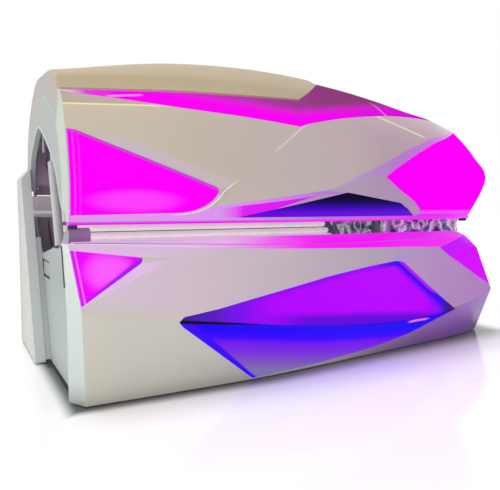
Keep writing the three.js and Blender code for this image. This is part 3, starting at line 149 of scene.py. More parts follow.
BASE_STATIONS = [-0.969, -0.661, -0.387, -0.138, 0.153, 0.543, 0.858, 1]
BASE = [
    ([-0.954, -0.962, -0.96, -0.928, -0.868, -0.79, -0.722, -0.645], [FLOOR_GAP / RIM] * 8),
    ([-0.954, -0.998, -1.005, -0.976, -0.927, -0.86, -0.815, -0.8],
     [0.578, 0.486, 0.41, 0.345, 0.287, 0.271, 0.345, 0.436]),
    ([-0.807, -0.866, -0.881, -0.881, -0.837, -0.737, -0.652, -0.643],
     [0.989, 0.957, 0.93, 0.911, 0.891, 0.866, 0.837, 0.82]),
    ([-0.705, -0.705, -0.705, -0.705, -0.705, -0.705, -0.62, -0.52], [1, 1, 1, 1, 1, 1, 0.985, 0.93]),
]
BASE = [(along(BASE_STATIONS, v), along(BASE_STATIONS, w)) for v, w in BASE]
SEAM = along([-1, -0.387, 0, 0.543, 0.858, 1], [0.4, 0.35, 0.33, 0.5, 0.65, 0.7])


def base_at(x, j):
    """Y and Z of the base front at station x and rail place j: floor 0, crease 1, top edge 2, inner rim 3."""
    x, j = np.broadcast_arrays(np.asarray(x, float), np.asarray(j, float))
    u = x / HALF
    ys = np.array([v(u) * DEEP for v, _ in BASE])
    zs = np.array([w(u) * RIM for _, w in BASE])
    i = np.clip(np.floor(j).astype(int), 0, 2)
    t = j - i
    cols = tuple(np.indices(j.shape))
    y = ys[(i,) + cols] * (1 - t) + ys[(i + 1,) + cols] * t
    z = zs[(i,) + cols] * (1 - t) + zs[(i + 1,) + cols] * t
    return y, z


def base_j(x, z):
    x, z = np.broadcast_arrays(np.asarray(x, float), np.asarray(z, float))
    zs = [w(x / HALF) * RIM for _, w in BASE]
    low = (z - zs[0]) / (zs[1] - zs[0])
    mid = 1 + (z - zs[1]) / (zs[2] - zs[1])
    top = 2 + (z - zs[2]) / (zs[3] - zs[2])
    return np.clip(np.where(z < zs[1], low, np.where(z < zs[2], mid, top)), 0, 3)


def base_point(x, j, lift=0.0):
    x, j = np.broadcast_arrays(np.asarray(x, float), np.asarray(j, float))
    y, z = base_at(x, j)
    e = 0.004
    y1, z1 = base_at(x + e, j)
    y0, z0 = base_at(x - e, j)
    i = np.clip(np.floor(j), 0, 2)
    ky1, kz1 = base_at(x, i + 0.95)
    ky0, kz0 = base_at(x, i + 0.05)
    run = np.stack([np.full(x.shape, 2 * e), y1 - y0, z1 - z0], -1)
    rise = np.stack([np.zeros(x.shape), ky1 - ky0, kz1 - kz0], -1)
    normal = np.cross(run, rise)
    normal /= np.linalg.norm(normal, axis=-1, keepdims=True)
    return np.stack([x, y, z], -1) + normal * np.asarray(lift)[..., None]


# Flat outlines

def dense(points, step=0.012, closed=True):
    """Points along straight edges, no further apart than step."""
    pts = [np.array(p, float) for p in points]
    out = []
    count = len(pts) if closed else len(pts) - 1
    for i in range(count):
        a, b = pts[i], pts[(i + 1) % len(pts)]
        n = max(1, int(math.ceil(np.linalg.norm(b - a) / step)))
        out += [a + (b - a) * k / n for k in range(n)]
    if not closed:
        out.append(pts[-1])
    return np.array(out)


def rounded(points, radius, steps=6):
    """A closed outline with its corners rounded; radius is one value or one per corner."""
    pts = [np.array(p, float) for p in points]
    n = len(pts)
    radii = radius if isinstance(radius, (list, tuple)) else [radius] * n
    out = []
    for i, c in enumerate(pts):
        a, b = pts[i - 1], pts[(i + 1) % n]
        if radii[i] <= 0:
            out.append(c)
            continue
        la, lb = np.linalg.norm(a - c), np.linalg.norm(b - c)
        reach = min(radii[i], la * 0.48, lb * 0.48)
        s, e = c + (a - c) * reach / la, c + (b - c) * reach / lb
        for k in range(steps + 1):
            t = k / steps
            out.append(s * (1 - t) ** 2 + c * 2 * t * (1 - t) + e * t * t)
    return out


def curve(points, corners=(), step=0.012):
    """An open smooth line through the points, with the numbered ones left sharp."""
    pts = [np.array(p, float) for p in points]
    n = len(pts)
    out = []
    for i in range(n - 1):
        p1, p2 = pts[i], pts[i + 1]
        p0 = pts[i - 1] if i > 0 and i not in corners else 2 * p1 - p2
        p3 = pts[i + 2] if i + 2 < n and i + 1 not in corners else 2 * p2 - p1
        m = max(2, int(np.linalg.norm(p2 - p1) / step))
        for k in range(m):
            t = k / m
            v0, v1 = (p2 - p0) / 2, (p3 - p1) / 2
            out.append((2 * p1 - 2 * p2 + v0 + v1) * t ** 3 + (-3 * p1 + 3 * p2 - 2 * v0 - v1) * t * t + v0 * t + p1)
    out.append(pts[-1])
    return out


def on_canopy(points):
    return [(u * HALF, LIP + w * CANOPY) for u, w in points]


def on_base(points):
    return [(u * HALF, w * RIM) for u, w in points]


def inside(points, outline):
    """Which points lie inside a closed outline."""
    p, q = np.asarray(points, float), np.asarray(outline, float)
    a, b = q, np.roll(q, -1, 0)
    px, py = p[:, 0:1], p[:, 1:2]
    spans = (a[:, 1] > py) != (b[:, 1] > py)
    rise = np.where(np.abs(b[:, 1] - a[:, 1]) < 1e-12, 1e-12, b[:, 1] - a[:, 1])
    cross = px < (b[:, 0] - a[:, 0]) * (py - a[:, 1]) / rise + a[:, 0]
    return np.sum(spans & cross, axis=1) % 2 == 1


def away_from(points, lines, distance):
    """Which points keep the distance to every line."""
    p = np.asarray(points, float)
    keep = np.ones(len(p), bool)
    for line, closed in lines:
        q = np.asarray(line, float)
        a = q if closed else q[:-1]
        b = np.roll(q, -1, 0) if closed else q[1:]
        for part in range(0, len(a), 200):
            aa, bb = a[part:part + 200], b[part:part + 200]
            d = bb - aa
            size = np.maximum(np.sum(d * d, 1), 1e-14)
            t = np.clip(np.sum((p[:, None, :] - aa) * d, 2) / size, 0, 1)
            near = aa + t[..., None] * d
            keep &= np.min(np.sum((p[:, None, :] - near) ** 2, 2), 1) > distance ** 2
    return keep


def cut_sheet(include, exclude=(), guides=(), spacing=0.016):
    """Flat triangles inside all of include and outside all of exclude, with edges along every line."""
    lines = [(np.asarray(o, float), True) for o in list(include) + list(exclude)]
    lines += [(np.asarray(g, float), False) for g in guides]
    low = np.max([np.min(np.asarray(o, float), 0) for o in include], 0)
    high = np.min([np.max(np.asarray(o, float), 0) for o in include], 0)
    xs = np.arange(low[0], high[0] + spacing, spacing)
    ys = np.arange(low[1], high[1] + spacing, spacing * 0.87)
    grid = np.array([(x + (spacing / 2 if j % 2 else 0), y) for j, y in enumerate(ys) for x in xs])

    def wanted(p):
        ok = np.ones(len(p), bool)
        for o in include:
            ok &= inside(p, o)
        for o in exclude:
            ok &= ~inside(p, o)
        return ok
    grid = grid[wanted(grid)]
    if len(grid):
        grid = grid[away_from(grid, lines, spacing * 0.55)]
    verts, edges = [], []
    for line, closed in lines:
        start = len(verts)
        verts += [Vector(p) for p in line]
        n = len(line)
        edges += [(start + i, start + (i + 1) % n) for i in range(n if closed else n - 1)]
    verts += [Vector(p) for p in grid]
    co, _, faces, _, _, _ = delaunay_2d_cdt(verts, edges, [], 0, 1e-6)
    co = np.array([(v.x, v.y) for v in co])
    tris = np.array([f for f in faces if len(f) == 3])
    mid = co[tris].mean(1)
    area = np.abs(np.cross(co[tris[:, 1]] - co[tris[:, 0]], co[tris[:, 2]] - co[tris[:, 0]]))
    tris = tris[wanted(mid) & (area > 1e-9)]
    used = np.unique(tris)
    renum = np.full(len(co), -1)
    renum[used] = np.arange(len(used))
    co, tris = co[used], renum[tris]
    a, b, c = co[tris[:, 0]], co[tris[:, 1]], co[tris[:, 2]]
    flip = np.cross(b - a, c - a) < 0
    tris[flip] = tris[flip][:, ::-1]
    return co, tris


# Objects

def add_object(name, verts, faces, materials, indices=None, smooth=35):
    mesh = bpy.data.meshes.new(name)
    mesh.from_pydata([tuple(v) for v in verts], [], [tuple(int(i) for i in f) for f in faces])
    mesh.validate()
    for m in materials:
        mesh.materials.append(m)
    if indices is not None:
        mesh.polygons.foreach_set("material_index", np.asarray(indices, dtype=np.int32))
    obj = bpy.data.objects.new(name, mesh)
    scene.collection.objects.link(obj)
    soften(obj, smooth)
    return obj


def soften(obj, angle=35):
    mesh = obj.data
    mesh.polygons.foreach_set("use_smooth", [True] * len(mesh.polygons))
    mesh.set_sharp_from_angle(angle=math.radians(angle))


def bevel(obj, width, segments=2, angle=30):
    mod = obj.modifiers.new("edge", "BEVEL")
    mod.width = width
    mod.segments = segments
    mod.limit_method = "ANGLE"
    mod.angle_limit = math.radians(angle)
    mod.harden_normals = False
    return mod


def shell(name, outer, inner, tris, materials, zones=None, smooth=35, extra=None):
    """A sheet between two copies of the same triangles, with walls along its edge."""
    n = len(outer)
    verts = np.concatenate([outer, inner])
    faces = [tuple(t) for t in tris] + [tuple(t[::-1] + n) for t in tris]
    mat = list(zones) * 2 if zones is not None else [0] * (2 * len(tris))
    seen = {}
    for t in tris:
        for a, b in ((t[0], t[1]), (t[1], t[2]), (t[2], t[0])):
            seen[(a, b)] = seen.get((a, b), 0) + 1
    owner = {}
    for f, t in enumerate(tris):
        for a, b in ((t[0], t[1]), (t[1], t[2]), (t[2], t[0])):
            owner[(a, b)] = f
    for (a, b) in seen:
        if (b, a) not in seen:
            faces.append((b, a, a + n, b + n))
            mat.append(mat[owner[(a, b)]])
    return add_object(name, verts, faces, materials, mat, smooth)


def strip(name, rows, materials, closed=False, smooth=35, caps=False):
    """A skin through rows of points; closed joins each row's ends."""
    rows = [np.asarray(r, float) for r in rows]
    n = len(rows[0])
    verts = np.concatenate(rows)
    faces = []
    for i in range(len(rows) - 1):
        for k in range(n if closed else n - 1):
            a, b = i * n + k, i * n + (k + 1) % n
            faces.append((a, b, b + n, a + n))
    if caps:
        faces.append(tuple(range(n))[::-1])
        faces.append(tuple(range((len(rows) - 1) * n, len(rows) * n)))
    return add_object(name, verts, faces, materials, None, smooth)


def tube(name, points, radii, material, sides=16, smooth=40):
    """A round bar along points, with one radius per point and closed ends."""
    pts = [Vector(p) for p in points]
    rows = []
    side = None
    for i, p in enumerate(pts):
        way = (pts[min(i + 1, len(pts) - 1)] - pts[max(i - 1, 0)]).normalized()
        if side is None:
            side = way.cross(Vector((0.31, 0.17, 0.93))).normalized()
        side = (side - way * side.dot(way)).normalized()
        other = way.cross(side)
        r = radii[i] if isinstance(radii, (list, tuple)) else radii
        rows.append([p + (side * math.cos(t) + other * math.sin(t)) * r
                     for t in (2 * math.pi * k / sides for k in range(sides))])
    obj = strip(name, rows, [material], closed=True, smooth=smooth, caps=True)
    bm = bmesh.new()
    bm.from_mesh(obj.data)
    bmesh.ops.recalc_face_normals(bm, faces=bm.faces)
    bm.to_mesh(obj.data)
    bm.free()
    soften(obj, smooth)
    return obj


def give(obj, body, slot, *nodes):
    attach(obj, body)
    if nodes:
        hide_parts(*nodes)
    return obj


# Materials

def srgb(text):
    out = []
    for i in (1, 3, 5):
        c = int(text[i:i + 2], 16) / 255
        out.append(c / 12.92 if c <= 0.04045 else ((c + 0.055) / 1.055) ** 2.4)
    return (*out, 1)


X, Y, Z = (1, 0, 0), (0, 1, 0), (0, 0, 1)


class Look:
    """A node material whose colour, roughness and bump all vary over the surface."""

    def __init__(self, name, **sockets):
        self.mat = bpy.data.materials.new(name)
        self.mat.use_nodes = True
        self.tree = self.mat.node_tree
        self.tree.nodes.clear()
        self.out = self.node("ShaderNodeOutputMaterial")
        self.bsdf = self.node("ShaderNodeBsdfPrincipled")
        self.link(self.bsdf.outputs[0], self.out.inputs[0])
        self.place = self.node("ShaderNodeTexCoord").outputs["Object"]
        for key, value in sockets.items():
            self.bsdf.inputs[key.replace("_", " ")].default_value = value

    def node(self, kind, **props):
        n = self.tree.nodes.new(kind)
        for key, value in props.items():
            setattr(n, key, value)
        return n

    def link(self, a, b):
        self.tree.links.new(a, b)

    def noise(self, scale, detail=3, stretch=None):
        n = self.node("ShaderNodeTexNoise")
        n.inputs["Scale"].default_value = scale
        n.inputs["Detail"].default_value = detail
        where = self.place
        if stretch:
            m = self.node("ShaderNodeMapping")
            m.inputs["Scale"].default_value = stretch
            self.link(where, m.inputs["Vector"])
            where = m.outputs[0]
        self.link(where, n.inputs["Vector"])
        return n.outputs["Fac"]

    def cells(self, scale, feature="F1"):
        n = self.node("ShaderNodeTexVoronoi", feature=feature)
        n.inputs["Scale"].default_value = scale
        self.link(self.place, n.inputs["Vector"])
        return n.outputs["Distance"]

    def calc(self, op, a, b=None, c=None):
        n = self.node("ShaderNodeMath", operation=op)
        for i, v in enumerate((a, b, c)):
            if v is None:
                continue
            if isinstance(v, (int, float)):
                n.inputs[i].default_value = v
            else:
                self.link(v, n.inputs[i])
        return n.outputs[0]

    def axis(self, way):
        """How far a point lies along a direction."""
        n = self.node("ShaderNodeVectorMath", operation="DOT_PRODUCT")
        n.inputs[1].default_value = way
        self.link(self.place, n.inputs[0])
        return n.outputs["Value"]

    def span(self, value, low, high, to_low=0.0, to_high=1.0):
        n = self.node("ShaderNodeMapRange")
        for key, v in (("From Min", low), ("From Max", high), ("To Min", to_low), ("To Max", to_high)):
            n.inputs[key].default_value = v
        self.link(value, n.inputs["Value"])
        return n.outputs[0]

    def ramp(self, value, stops, mode="LINEAR"):
        n = self.node("ShaderNodeValToRGB")
        n.color_ramp.interpolation = mode
        elements = n.color_ramp.elements
        while len(elements) < len(stops):
            elements.new(0.5)
        for e, (pos, colour) in zip(elements, stops):
            e.position = pos
            e.color = srgb(colour)
        self.link(value, n.inputs["Fac"])
        return n.outputs["Color"]

    def mix(self, fac, a, b, blend="MIX"):
        n = self.node("ShaderNodeMix", data_type="RGBA", blend_type=blend)
        fac_in = n.inputs[0]
        a_in, b_in = n.inputs[6], n.inputs[7]
        if isinstance(fac, (int, float)):
            fac_in.default_value = fac
        else:
            self.link(fac, fac_in)
        for socket, v in ((a_in, a), (b_in, b)):
            if isinstance(v, str):
                socket.default_value = srgb(v)
            elif isinstance(v, tuple):
                socket.default_value = v
            else:
                self.link(v, socket)
        return n.outputs[2]

    def mix_value(self, fac, a, b):
        """A number between a and b."""
        n = self.node("ShaderNodeMix", data_type="FLOAT")
        for socket, v in zip((n.inputs[0], n.inputs[2], n.inputs[3]), (fac, a, b)):
            self.link(v, socket)
        return n.outputs[0]

    def line(self, a, b):
        """Distance above the line from a to b in the front view, where a lies left of b."""
        dx, dz = b[0] - a[0], b[1] - a[1]
        size = math.hypot(dx, dz)
        across = (-dz / size, 0, dx / size)
        return self.calc("SUBTRACT", self.axis(across), a[0] * across[0] + a[1] * across[2])

    def ease(self, value, low, high):
        """A soft step from 0 at low to 1 at high."""
        n = self.node("ShaderNodeMapRange", interpolation_type="SMOOTHSTEP")
        n.inputs["From Min"].default_value = low
        n.inputs["From Max"].default_value = high
        self.link(value, n.inputs["Value"])
        return n.outputs[0]

    def near(self, value, width):
        """1 close to zero, falling to 0 at half the width."""
        return self.ease(self.calc("ABSOLUTE", value), width * 0.6, width * 0.3)

    def both(self, *masks):
        out = masks[0]
        for m in masks[1:]:
            out = self.calc("MULTIPLY", out, m)
        return out

    def most(self, *values):
        out = values[0]
        for v in values[1:]:
            out = self.calc("MAXIMUM", out, v)
        return out

    def least(self, *values):
        out = values[0]
        for v in values[1:]:
            out = self.calc("MINIMUM", out, v)
        return out

    def within(self, value, low, high, soft=0.02):
        """1 between low and high, with soft ends."""
        return self.both(self.ease(value, low - soft, low), self.ease(value, high + soft, high))

    def blob(self, x, z, wide, high):
        """1 at a spot in the front view, falling softly to 0 at its rim."""
        across = self.calc("DIVIDE", self.calc("SUBTRACT", self.axis(X), x), wide)
        up = self.calc("DIVIDE", self.calc("SUBTRACT", self.axis(Z), z), high)
        size = self.calc("ADD", self.calc("MULTIPLY", across, across), self.calc("MULTIPLY", up, up))
        return self.ease(size, 1.0, 0.0)

    def vary(self, colour, amount, scale=9):
        """A colour, lightened and darkened a little over the surface."""
        value = self.span(self.noise(scale, 4), 0.15, 0.85, 1 - amount, 1 + amount)
        n = self.node("ShaderNodeVectorMath", operation="SCALE")
        self.link(colour, n.inputs[0])
        self.link(value, n.inputs["Scale"])
        return n.outputs[0]

    def set(self, key, source):
        self.link(source, self.bsdf.inputs[key])

    def rough(self, low, high, scale=30):
        self.set("Roughness", self.span(self.noise(scale, 3), 0.1, 0.9, low, high))

    def bumps(self, *layers):
        """Bump layers of (height, strength, distance in metres)."""
        last = None
        for height, strength, distance in layers:
            n = self.node("ShaderNodeBump")
            n.inputs["Strength"].default_value = strength
            n.inputs["Distance"].default_value = distance
            self.link(height, n.inputs["Height"])
            if last is not None:
                self.link(last, n.inputs["Normal"])
            last = n.outputs[0]
        self.set("Normal", last)


def gradient(look, way, low, high, stops):
    return look.ramp(look.span(look.axis(way), low, high), stops)


def plastic(name, colour, low=0.2, high=0.28, coat=0.25, grain=420, vary=0.012, **sockets):
    """Moulded plastic; colour is a code, or a function that makes the colour from the look."""
    look = Look(name, Coat_Weight=coat, Coat_Roughness=0.06, **sockets)
    base = colour(look) if callable(colour) else look.ramp(look.noise(3), [(0, colour), (1, colour)])
    look.set("Base Color", look.vary(base, vary, 6))
    look.rough(low, high, 40)
    look.bumps((look.noise(grain, 2), 0.05, 0.0001))
    return look.mat


def lit(name, colour, strength=1.0, base=0.15, spec=0.12):
    """A lit diffuser: glowing colour with a fine prism pattern under a smooth face; also used to paint glow onto parts
    that hold no lamp.
    """
    look = Look(name, Specular_IOR_Level=spec, Emission_Strength=strength)
    glow = look.vary(colour(look), 0.012, 5)
    look.set("Emission Color", glow)
    dim = look.node("ShaderNodeVectorMath", operation="SCALE")
    dim.inputs["Scale"].default_value = base
    look.link(glow, dim.inputs[0])
    look.set("Base Color", dim.outputs[0])
    look.rough(0.3, 0.4, 8)
    look.bumps((look.cells(260), 0.06, 0.0002))
    return look.mat


def metal(name, colour, low, high, brushed=None, metallic=1.0, coat=0.0):
    look = Look(name, Metallic=metallic, Coat_Weight=coat)
    base = look.ramp(look.noise(5, 4), [(0.3, colour), (0.7, colour)])
    look.set("Base Color", look.vary(base, 0.04, 30))
    if brushed:
        fine = look.noise(60, 4, brushed)
        look.set("Roughness", look.span(fine, 0.3, 0.7, low, high))
        look.bumps((fine, 0.08, 0.0003))
    else:
        look.rough(low, high, 60)
        look.bumps((look.noise(350, 2), 0.08, 0.0003))
    return look.mat


def rubber(name, colour):
    look = Look(name, Specular_IOR_Level=0.35)
    base = look.ramp(look.noise(40, 5), [(0.3, colour), (0.75, colour)])
    look.set("Base Color", look.vary(base, 0.12, 60))
    look.rough(0.6, 0.8, 50)
    look.bumps((look.noise(700, 2), 0.3, 0.0005))
    return look.mat


def glass(name, colour, low, high):
    look = Look(name, Transmission_Weight=1.0, IOR=1.49)
    base = look.ramp(look.noise(4), [(0.3, colour), (0.7, colour)])
    look.set("Base Color", look.vary(base, 0.01, 5))
    look.rough(low, high, 18)
    look.bumps((look.noise(3, 2), 0.04, 0.001))
    return look.mat


def at(u, w):
    """A point of the canopy in the front view."""
    return u * HALF, LIP + w * CANOPY


def low_at(u, w):
    """A point of the base in the front view."""
    return u * HALF, w * RIM


# Painted light: the shell is white; its beige on the left stands for warm light, and its mauve towards the right for
# the glow of the lit panels.
def front_tone(l):
    x = l.axis(X)
    low = l.ramp(l.span(x, -1.1, 1.1), [(0, "#cfc3ab"), (0.22, "#c7b9ab"), (0.42, "#c2b3b2"), (0.56, "#c0acb0"),
                                        (0.66, "#b99caa"), (0.8, "#b697a9"), (1, "#b08d9d")])
    high = l.ramp(l.span(x, -1.1, 1.1), [(0, "#ccbfa8"), (0.4, "#c3b3a9"), (0.6, "#b99fab"), (1, "#b2909f")])
    tone = l.mix(l.ease(l.axis(Z), 0.95, 1.15), low, high)
    crease = l.line(at(-0.99, 0.563), at(-0.644, 0.588))
    left = l.ease(x, -0.66, -0.82)
    # Painted shade on the facet above the crease.
    tone = l.mix(l.both(l.ease(crease, 0, 0.008), left), tone, "#b9a79a")
    # Painted highlight along the crease line.
    tone = l.mix(l.both(l.near(crease, 0.007), l.ease(x, -0.70, -0.78)), tone, "#f3e4b0")
    fold = l.line(at(-0.252, 0.378), at(-0.107, 0.535))
    # Painted highlight along the fold below the band's kink.
    tone = l.mix(l.both(l.near(fold, 0.010), l.within(x, -0.29, -0.12), l.ease(l.axis(Z), 0.92, 0.96)), tone, "#d6cac0")
    right = l.line(at(0.32, 0.648), at(0.567, 0.539))
    # Painted highlight along a crease on the right.
    return l.mix(l.both(l.near(right, 0.012), l.within(x, 0.37, 0.64, 0.03)), tone, "#e6d3b4")


def hollow_tone(l):
    """The hollow above the left lit panel: pinker towards the panel, where the panel's magenta light is painted onto
    it.
    """
    edge = l.line(at(-0.96, 0.437), at(-0.482, 0.162))
    pale = l.ramp(l.span(l.axis(X), -1.1, -0.45), [(0, "#cfc0c4"), (0.4, "#cdbac5"), (1, "#c9babb")])
    fade = l.both(l.ease(edge, 0.060, 0.028), l.ease(l.axis(X), -1.10, -0.90))
    return l.mix(fade, front_tone(l), pale)


FRONT = plastic("shell_front", front_tone)
LILAC = plastic("shell_lilac", hollow_tone)
STRIP = lit("shell_strip", lambda l: gradient(
    l, X, -1.1, 1.1, [(0, "#e09aec"), (0.2, "#e394f2"), (0.32, "#d68fee"), (0.48, "#b47ad8"), (0.66, "#be5ede"),
                      (0.74, "#dc38f0"), (0.82, "#e224f6"), (1, "#e41cf8")]), 0.85, 0.15, 0.05)
# Painted light: the chamfer and the facet below it are white shell, coloured mauve and magenta by the glow of the lit
# nose panel, more so towards the right.
CHAMFER = plastic("shell_chamfer", lambda l: gradient(
    l, X, -0.05, 1.0, [(0, "#b9a9bc"), (0.2, "#b494c8"), (0.42, "#b870d2"), (0.7, "#c55cdc"), (1, "#cc4cde")]))
MAUVE = plastic("shell_mauve", lambda l: gradient(
    l, X, 0.0, 0.6, [(0, "#b39db6"), (0.5, "#af8fb4"), (1, "#b183b8")]))


# Painted light: the roof cover is white plastic; its beige tone stands for warm light from above, and the pale line
# along its upper left edge is a painted highlight.
def roof_tone(l):
    tone = gradient(l, X, -1.1, 0.2, [(0, "#baa98b"), (0.5, "#b8a78b"), (1, "#b29e87")])
    skyline = l.line((-1.126, 1.250), (-0.83, 1.316))
    front = l.both(l.ease(l.axis(X), -0.80, -0.90), l.ease(l.axis(Y), -0.02, -0.08))
    return l.mix(l.both(l.near(skyline, 0.008), front), tone, "#ecd694")


ROOF = plastic("roof_cover", roof_tone, 0.4, 0.5, 0.0, 300, Specular_IOR_Level=0.25)


def band_tone(l):
    x, z = l.axis(X), l.axis(Z)
    left_edge = l.line((-1.254, 1.139), (-0.138, 1.055))
    right_edge = l.line((-0.138, 1.055), (0.862, 1.219))
    above = l.mix_value(l.ease(x, -0.16, -0.10), left_edge, right_edge)
    deep = l.ramp(l.span(x, -0.75, 0.6), [(0, "#d62bcb"), (0.35, "#a83a9c"), (0.6, "#8f3c7c"), (1, "#8a3a74")])
    glow = l.ramp(l.span(x, -1.1, 0.6), [(0, "#e8b6e6"), (0.035, "#e63ee4"), (0.1, "#fb06f6"), (0.6, "#f606f2"),
                                         (1, "#d614d3")])
    tone = l.mix(l.ease(above, 0.035, 0.105), glow, deep)
    # Painted reflection: a pale streak on the left.
    streak = l.line(at(-0.838, 0.621), at(-0.729, 0.640))
    tone = l.mix(l.both(l.near(streak, 0.008), l.within(x, -0.95, -0.85, 0.03)), tone, "#fb9ef4")
    # Painted reflection: a glint on the right.
    glint = l.line((0.380, 1.254), (0.462, 1.113))
    return l.mix(l.both(l.near(glint, 0.014), l.within(z, 1.16, 1.22, 0.03)), tone, "#c986bd")


BAND = lit("band_glow", band_tone, 0.97, 0.04, 0.0)


def lens_tone(l):
    """The left lit panel: pure colour with paler lines inside its edges."""
    x = l.axis(X)
    tone = l.ramp(l.span(x, -1.1, -0.5), [(0, "#fd02fd"), (1, "#ff02ff")])
    # Painted highlight: a paler soft patch low on the panel.
    tone = l.mix(l.calc("MULTIPLY", l.blob(-0.89, 0.728, 0.21, 0.052), 0.7), tone, "#ff4cff")
    tone = l.mix(l.near(l.calc("SUBTRACT", x, -1.090), 0.010), tone, "#fe20fe")
    tone = l.mix(l.near(l.calc("SUBTRACT", x, -1.108), 0.009), tone, "#fb30fb")
    # Painted shade: a darker rim along the top of the panel, under the hollow's edge.
    rim = l.line(at(-0.96, 0.437), at(-0.482, 0.162))
    tone = l.mix(l.ease(rim, -0.013, -0.008), tone, "#c44ad2")
    return l.mix(l.ease(x, -1.122, -1.127), tone, "#d268dc")


LENS = lit("lens_glow", lens_tone, 0.97, 0.03, 0.0)
GLOW = lit("panel_glow", lambda l: l.mix(
    l.ease(l.axis(Z), 0.695, 0.675), gradient(l, X, 0.3, 1.1, [(0, "#fb02fb"), (1, "#ff00ff")]), "#f05af4"), 0.97, 0.03, 0.0)


def strip_tone(l):
    x = l.axis(X)
    tone = l.ramp(l.span(x, -0.62, 0.1), [(0, "#d9b0e4"), (0.1, "#d898ea"), (0.24, "#e41cf6"), (0.7, "#e00cf8"),
                                          (1, "#c050e0")])
    # Painted light: the mauve wedge along the visor edge stands for a sliver of white shell in magenta light, and glows
    # with the strip.
    low_edge = l.line(at(-0.395, 0.018), at(-0.153, 0.086))
    high_edge = l.line(at(-0.153, 0.086), at(0.07, 0.154))
    rise = l.most(low_edge, high_edge)
    limit = l.span(x, -0.35, -0.05, 0.0, 0.024)
    return l.mix(l.ease(l.calc("SUBTRACT", limit, rise), 0.0, 0.004), tone, "#b094b8")


RECESS_GLOW = lit("recess_glow", strip_tone, 0.92, 0.06, 0.05)
VISOR = lit("visor_glass", lambda l: gradient(
    l, Z, 0.664, 0.768, [(0, "#7410e6"), (0.14, "#6a0ef0"), (0.36, "#4509c4"), (0.55, "#220a74"), (0.75, "#120838"),
                         (1, "#0a0424")]), 0.8, 0.03, 0.02)


def triangle_tone(l):
    x = l.axis(X)
    tone = l.ramp(l.span(x, -1.13, -0.87), [(0, "#ea04fb"), (0.3, "#f40cfd"), (1, "#ec02fb")])
    tone = l.mix(l.calc("MULTIPLY", l.blob(-1.0, 0.470, 0.11, 0.085), 0.9), tone, "#fb60ff")
    slope = l.line(low_at(-0.975, 0.613), low_at(-0.769, 0.885))
    tone = l.mix(l.ease(slope, 0.014, 0.003), tone, "#c812f6")
    tone = l.mix(l.ease(slope, 0.004, 0.0), tone, "#a01cf0")
    border = l.line(low_at(-0.993, 0.957), low_at(-0.975, 0.617))
    tone = l.mix(l.near(l.calc("SUBTRACT", border, 0.017), 0.008), tone, "#f468fc")
    return l.mix(l.ease(border, 0.008, 0.003), tone, "#c040f0")


TRIANGLE = lit("triangle_glow", triangle_tone, 0.97, 0.04, 0.03)


def centre_tone(l):
    x, z = l.axis(X), l.axis(Z)
    tone = l.ramp(l.span(x, -0.76, 0.84), [(0, "#38209c"), (0.10, "#5a1cc4"), (0.17, "#7a0ef0"), (0.27, "#b002fe"),
                                           (0.62, "#b801fe"), (0.86, "#b801fe"), (0.95, "#7a0af4"), (1, "#3c1a92")])
    # Painted shade: darker blue along the divider.
    low = l.line(low_at(-0.40, 0.40), low_at(0.55, 0.225))
    tone = l.mix(l.both(l.ease(low, 0.055, 0.008), l.ease(x, -0.5, -0.1)), tone, "#6408dc")
    # Painted shade: darker blue under the recess's top edge.
    top = l.most(l.line(low_at(-0.664, 0.487), low_at(-0.395, 0.582)), l.line(low_at(-0.395, 0.582), low_at(0.091, 0.708)))
    top = l.most(top, l.line(low_at(0.091, 0.708), low_at(0.43, 0.755)))
    share = l.most(l.ease(x, 0.15, 0.45), l.both(l.ease(x, -0.60, -0.30), l.span(x, -1, 1, 0.35, 0.35)))
    tone = l.mix(l.both(l.ease(top, -0.026, -0.004), share), tone, "#3400fa")
    # Painted shade along the right side wall, and a magenta sliver painted for the side wall lit by the panel.
    side = l.line(low_at(0.422, 0.752), low_at(0.738, 0.281))
    tone = l.mix(l.ease(side, -0.065, -0.022), tone, "#3a04f6")
    tone = l.mix(l.both(l.ease(side, -0.017, -0.012), l.ease(z, 0.245, 0.28)), tone, "#b414f4")
    # Painted shade in the lower right corner.
    return l.mix(l.both(l.ease(x, 0.72, 0.80), l.ease(z, 0.24, 0.19)), tone, "#35187c")


VIOLET = lit("centre_glow", centre_tone, 0.97, 0.04, 0.03)


# Painted light: the tray is a white sloped surface; its blue and violet, strongest at the divider and fading downwards,
# stand for the light of the divider's lamp falling on it, and its glow is painted, since the tray holds no lamp.
def tray_tone(l):
    x, z = l.axis(X), l.axis(Z)
    above = l.least(l.line(low_at(-0.664, 0.487), low_at(-0.05, 0.299)), l.line(low_at(-0.05, 0.299), low_at(0.31, 0.235)),
                    l.line(low_at(0.31, 0.235), low_at(0.51, 0.225)), l.line(low_at(0.51, 0.225), low_at(0.738, 0.281)))
    drop = l.calc("MULTIPLY", above, -1.0)
    tone = l.ramp(l.span(drop, 0.0, 0.185), [(0, "#2a04e8"), (0.12, "#1c00fa"), (0.30, "#3c00fb"), (0.42, "#7416ee"),
                                             (0.62, "#7a30dc"), (0.85, "#7c56be"), (1, "#8070b0")])
    wall = l.line(low_at(-0.664, 0.476), low_at(-0.375, 0.034))
    edge = l.calc("SUBTRACT", l.span(x, -0.76, -0.44, 0.036, 0.005), wall)
    tone = l.mix(l.ease(edge, 0.0, 0.012), tone, "#3f02f8")
    gap = l.calc("SUBTRACT", l.span(x, -0.76, -0.15, 0.015, 0.0), drop)
    tone = l.mix(l.both(l.ease(gap, 0.0, 0.004), l.ease(x, -0.14, -0.20)), tone, "#0b0618")
    # Painted highlight: a pink glint on the right.
    glint = l.line(low_at(0.40, 0.212), low_at(0.60, 0.226))
    return l.mix(l.both(l.near(glint, 0.008), l.within(x, 0.54, 0.63, 0.04)), tone, "#e878f6")


TRAY = lit("tray_painted_blue_light", tray_tone, 0.95, 0.05, 0.06)


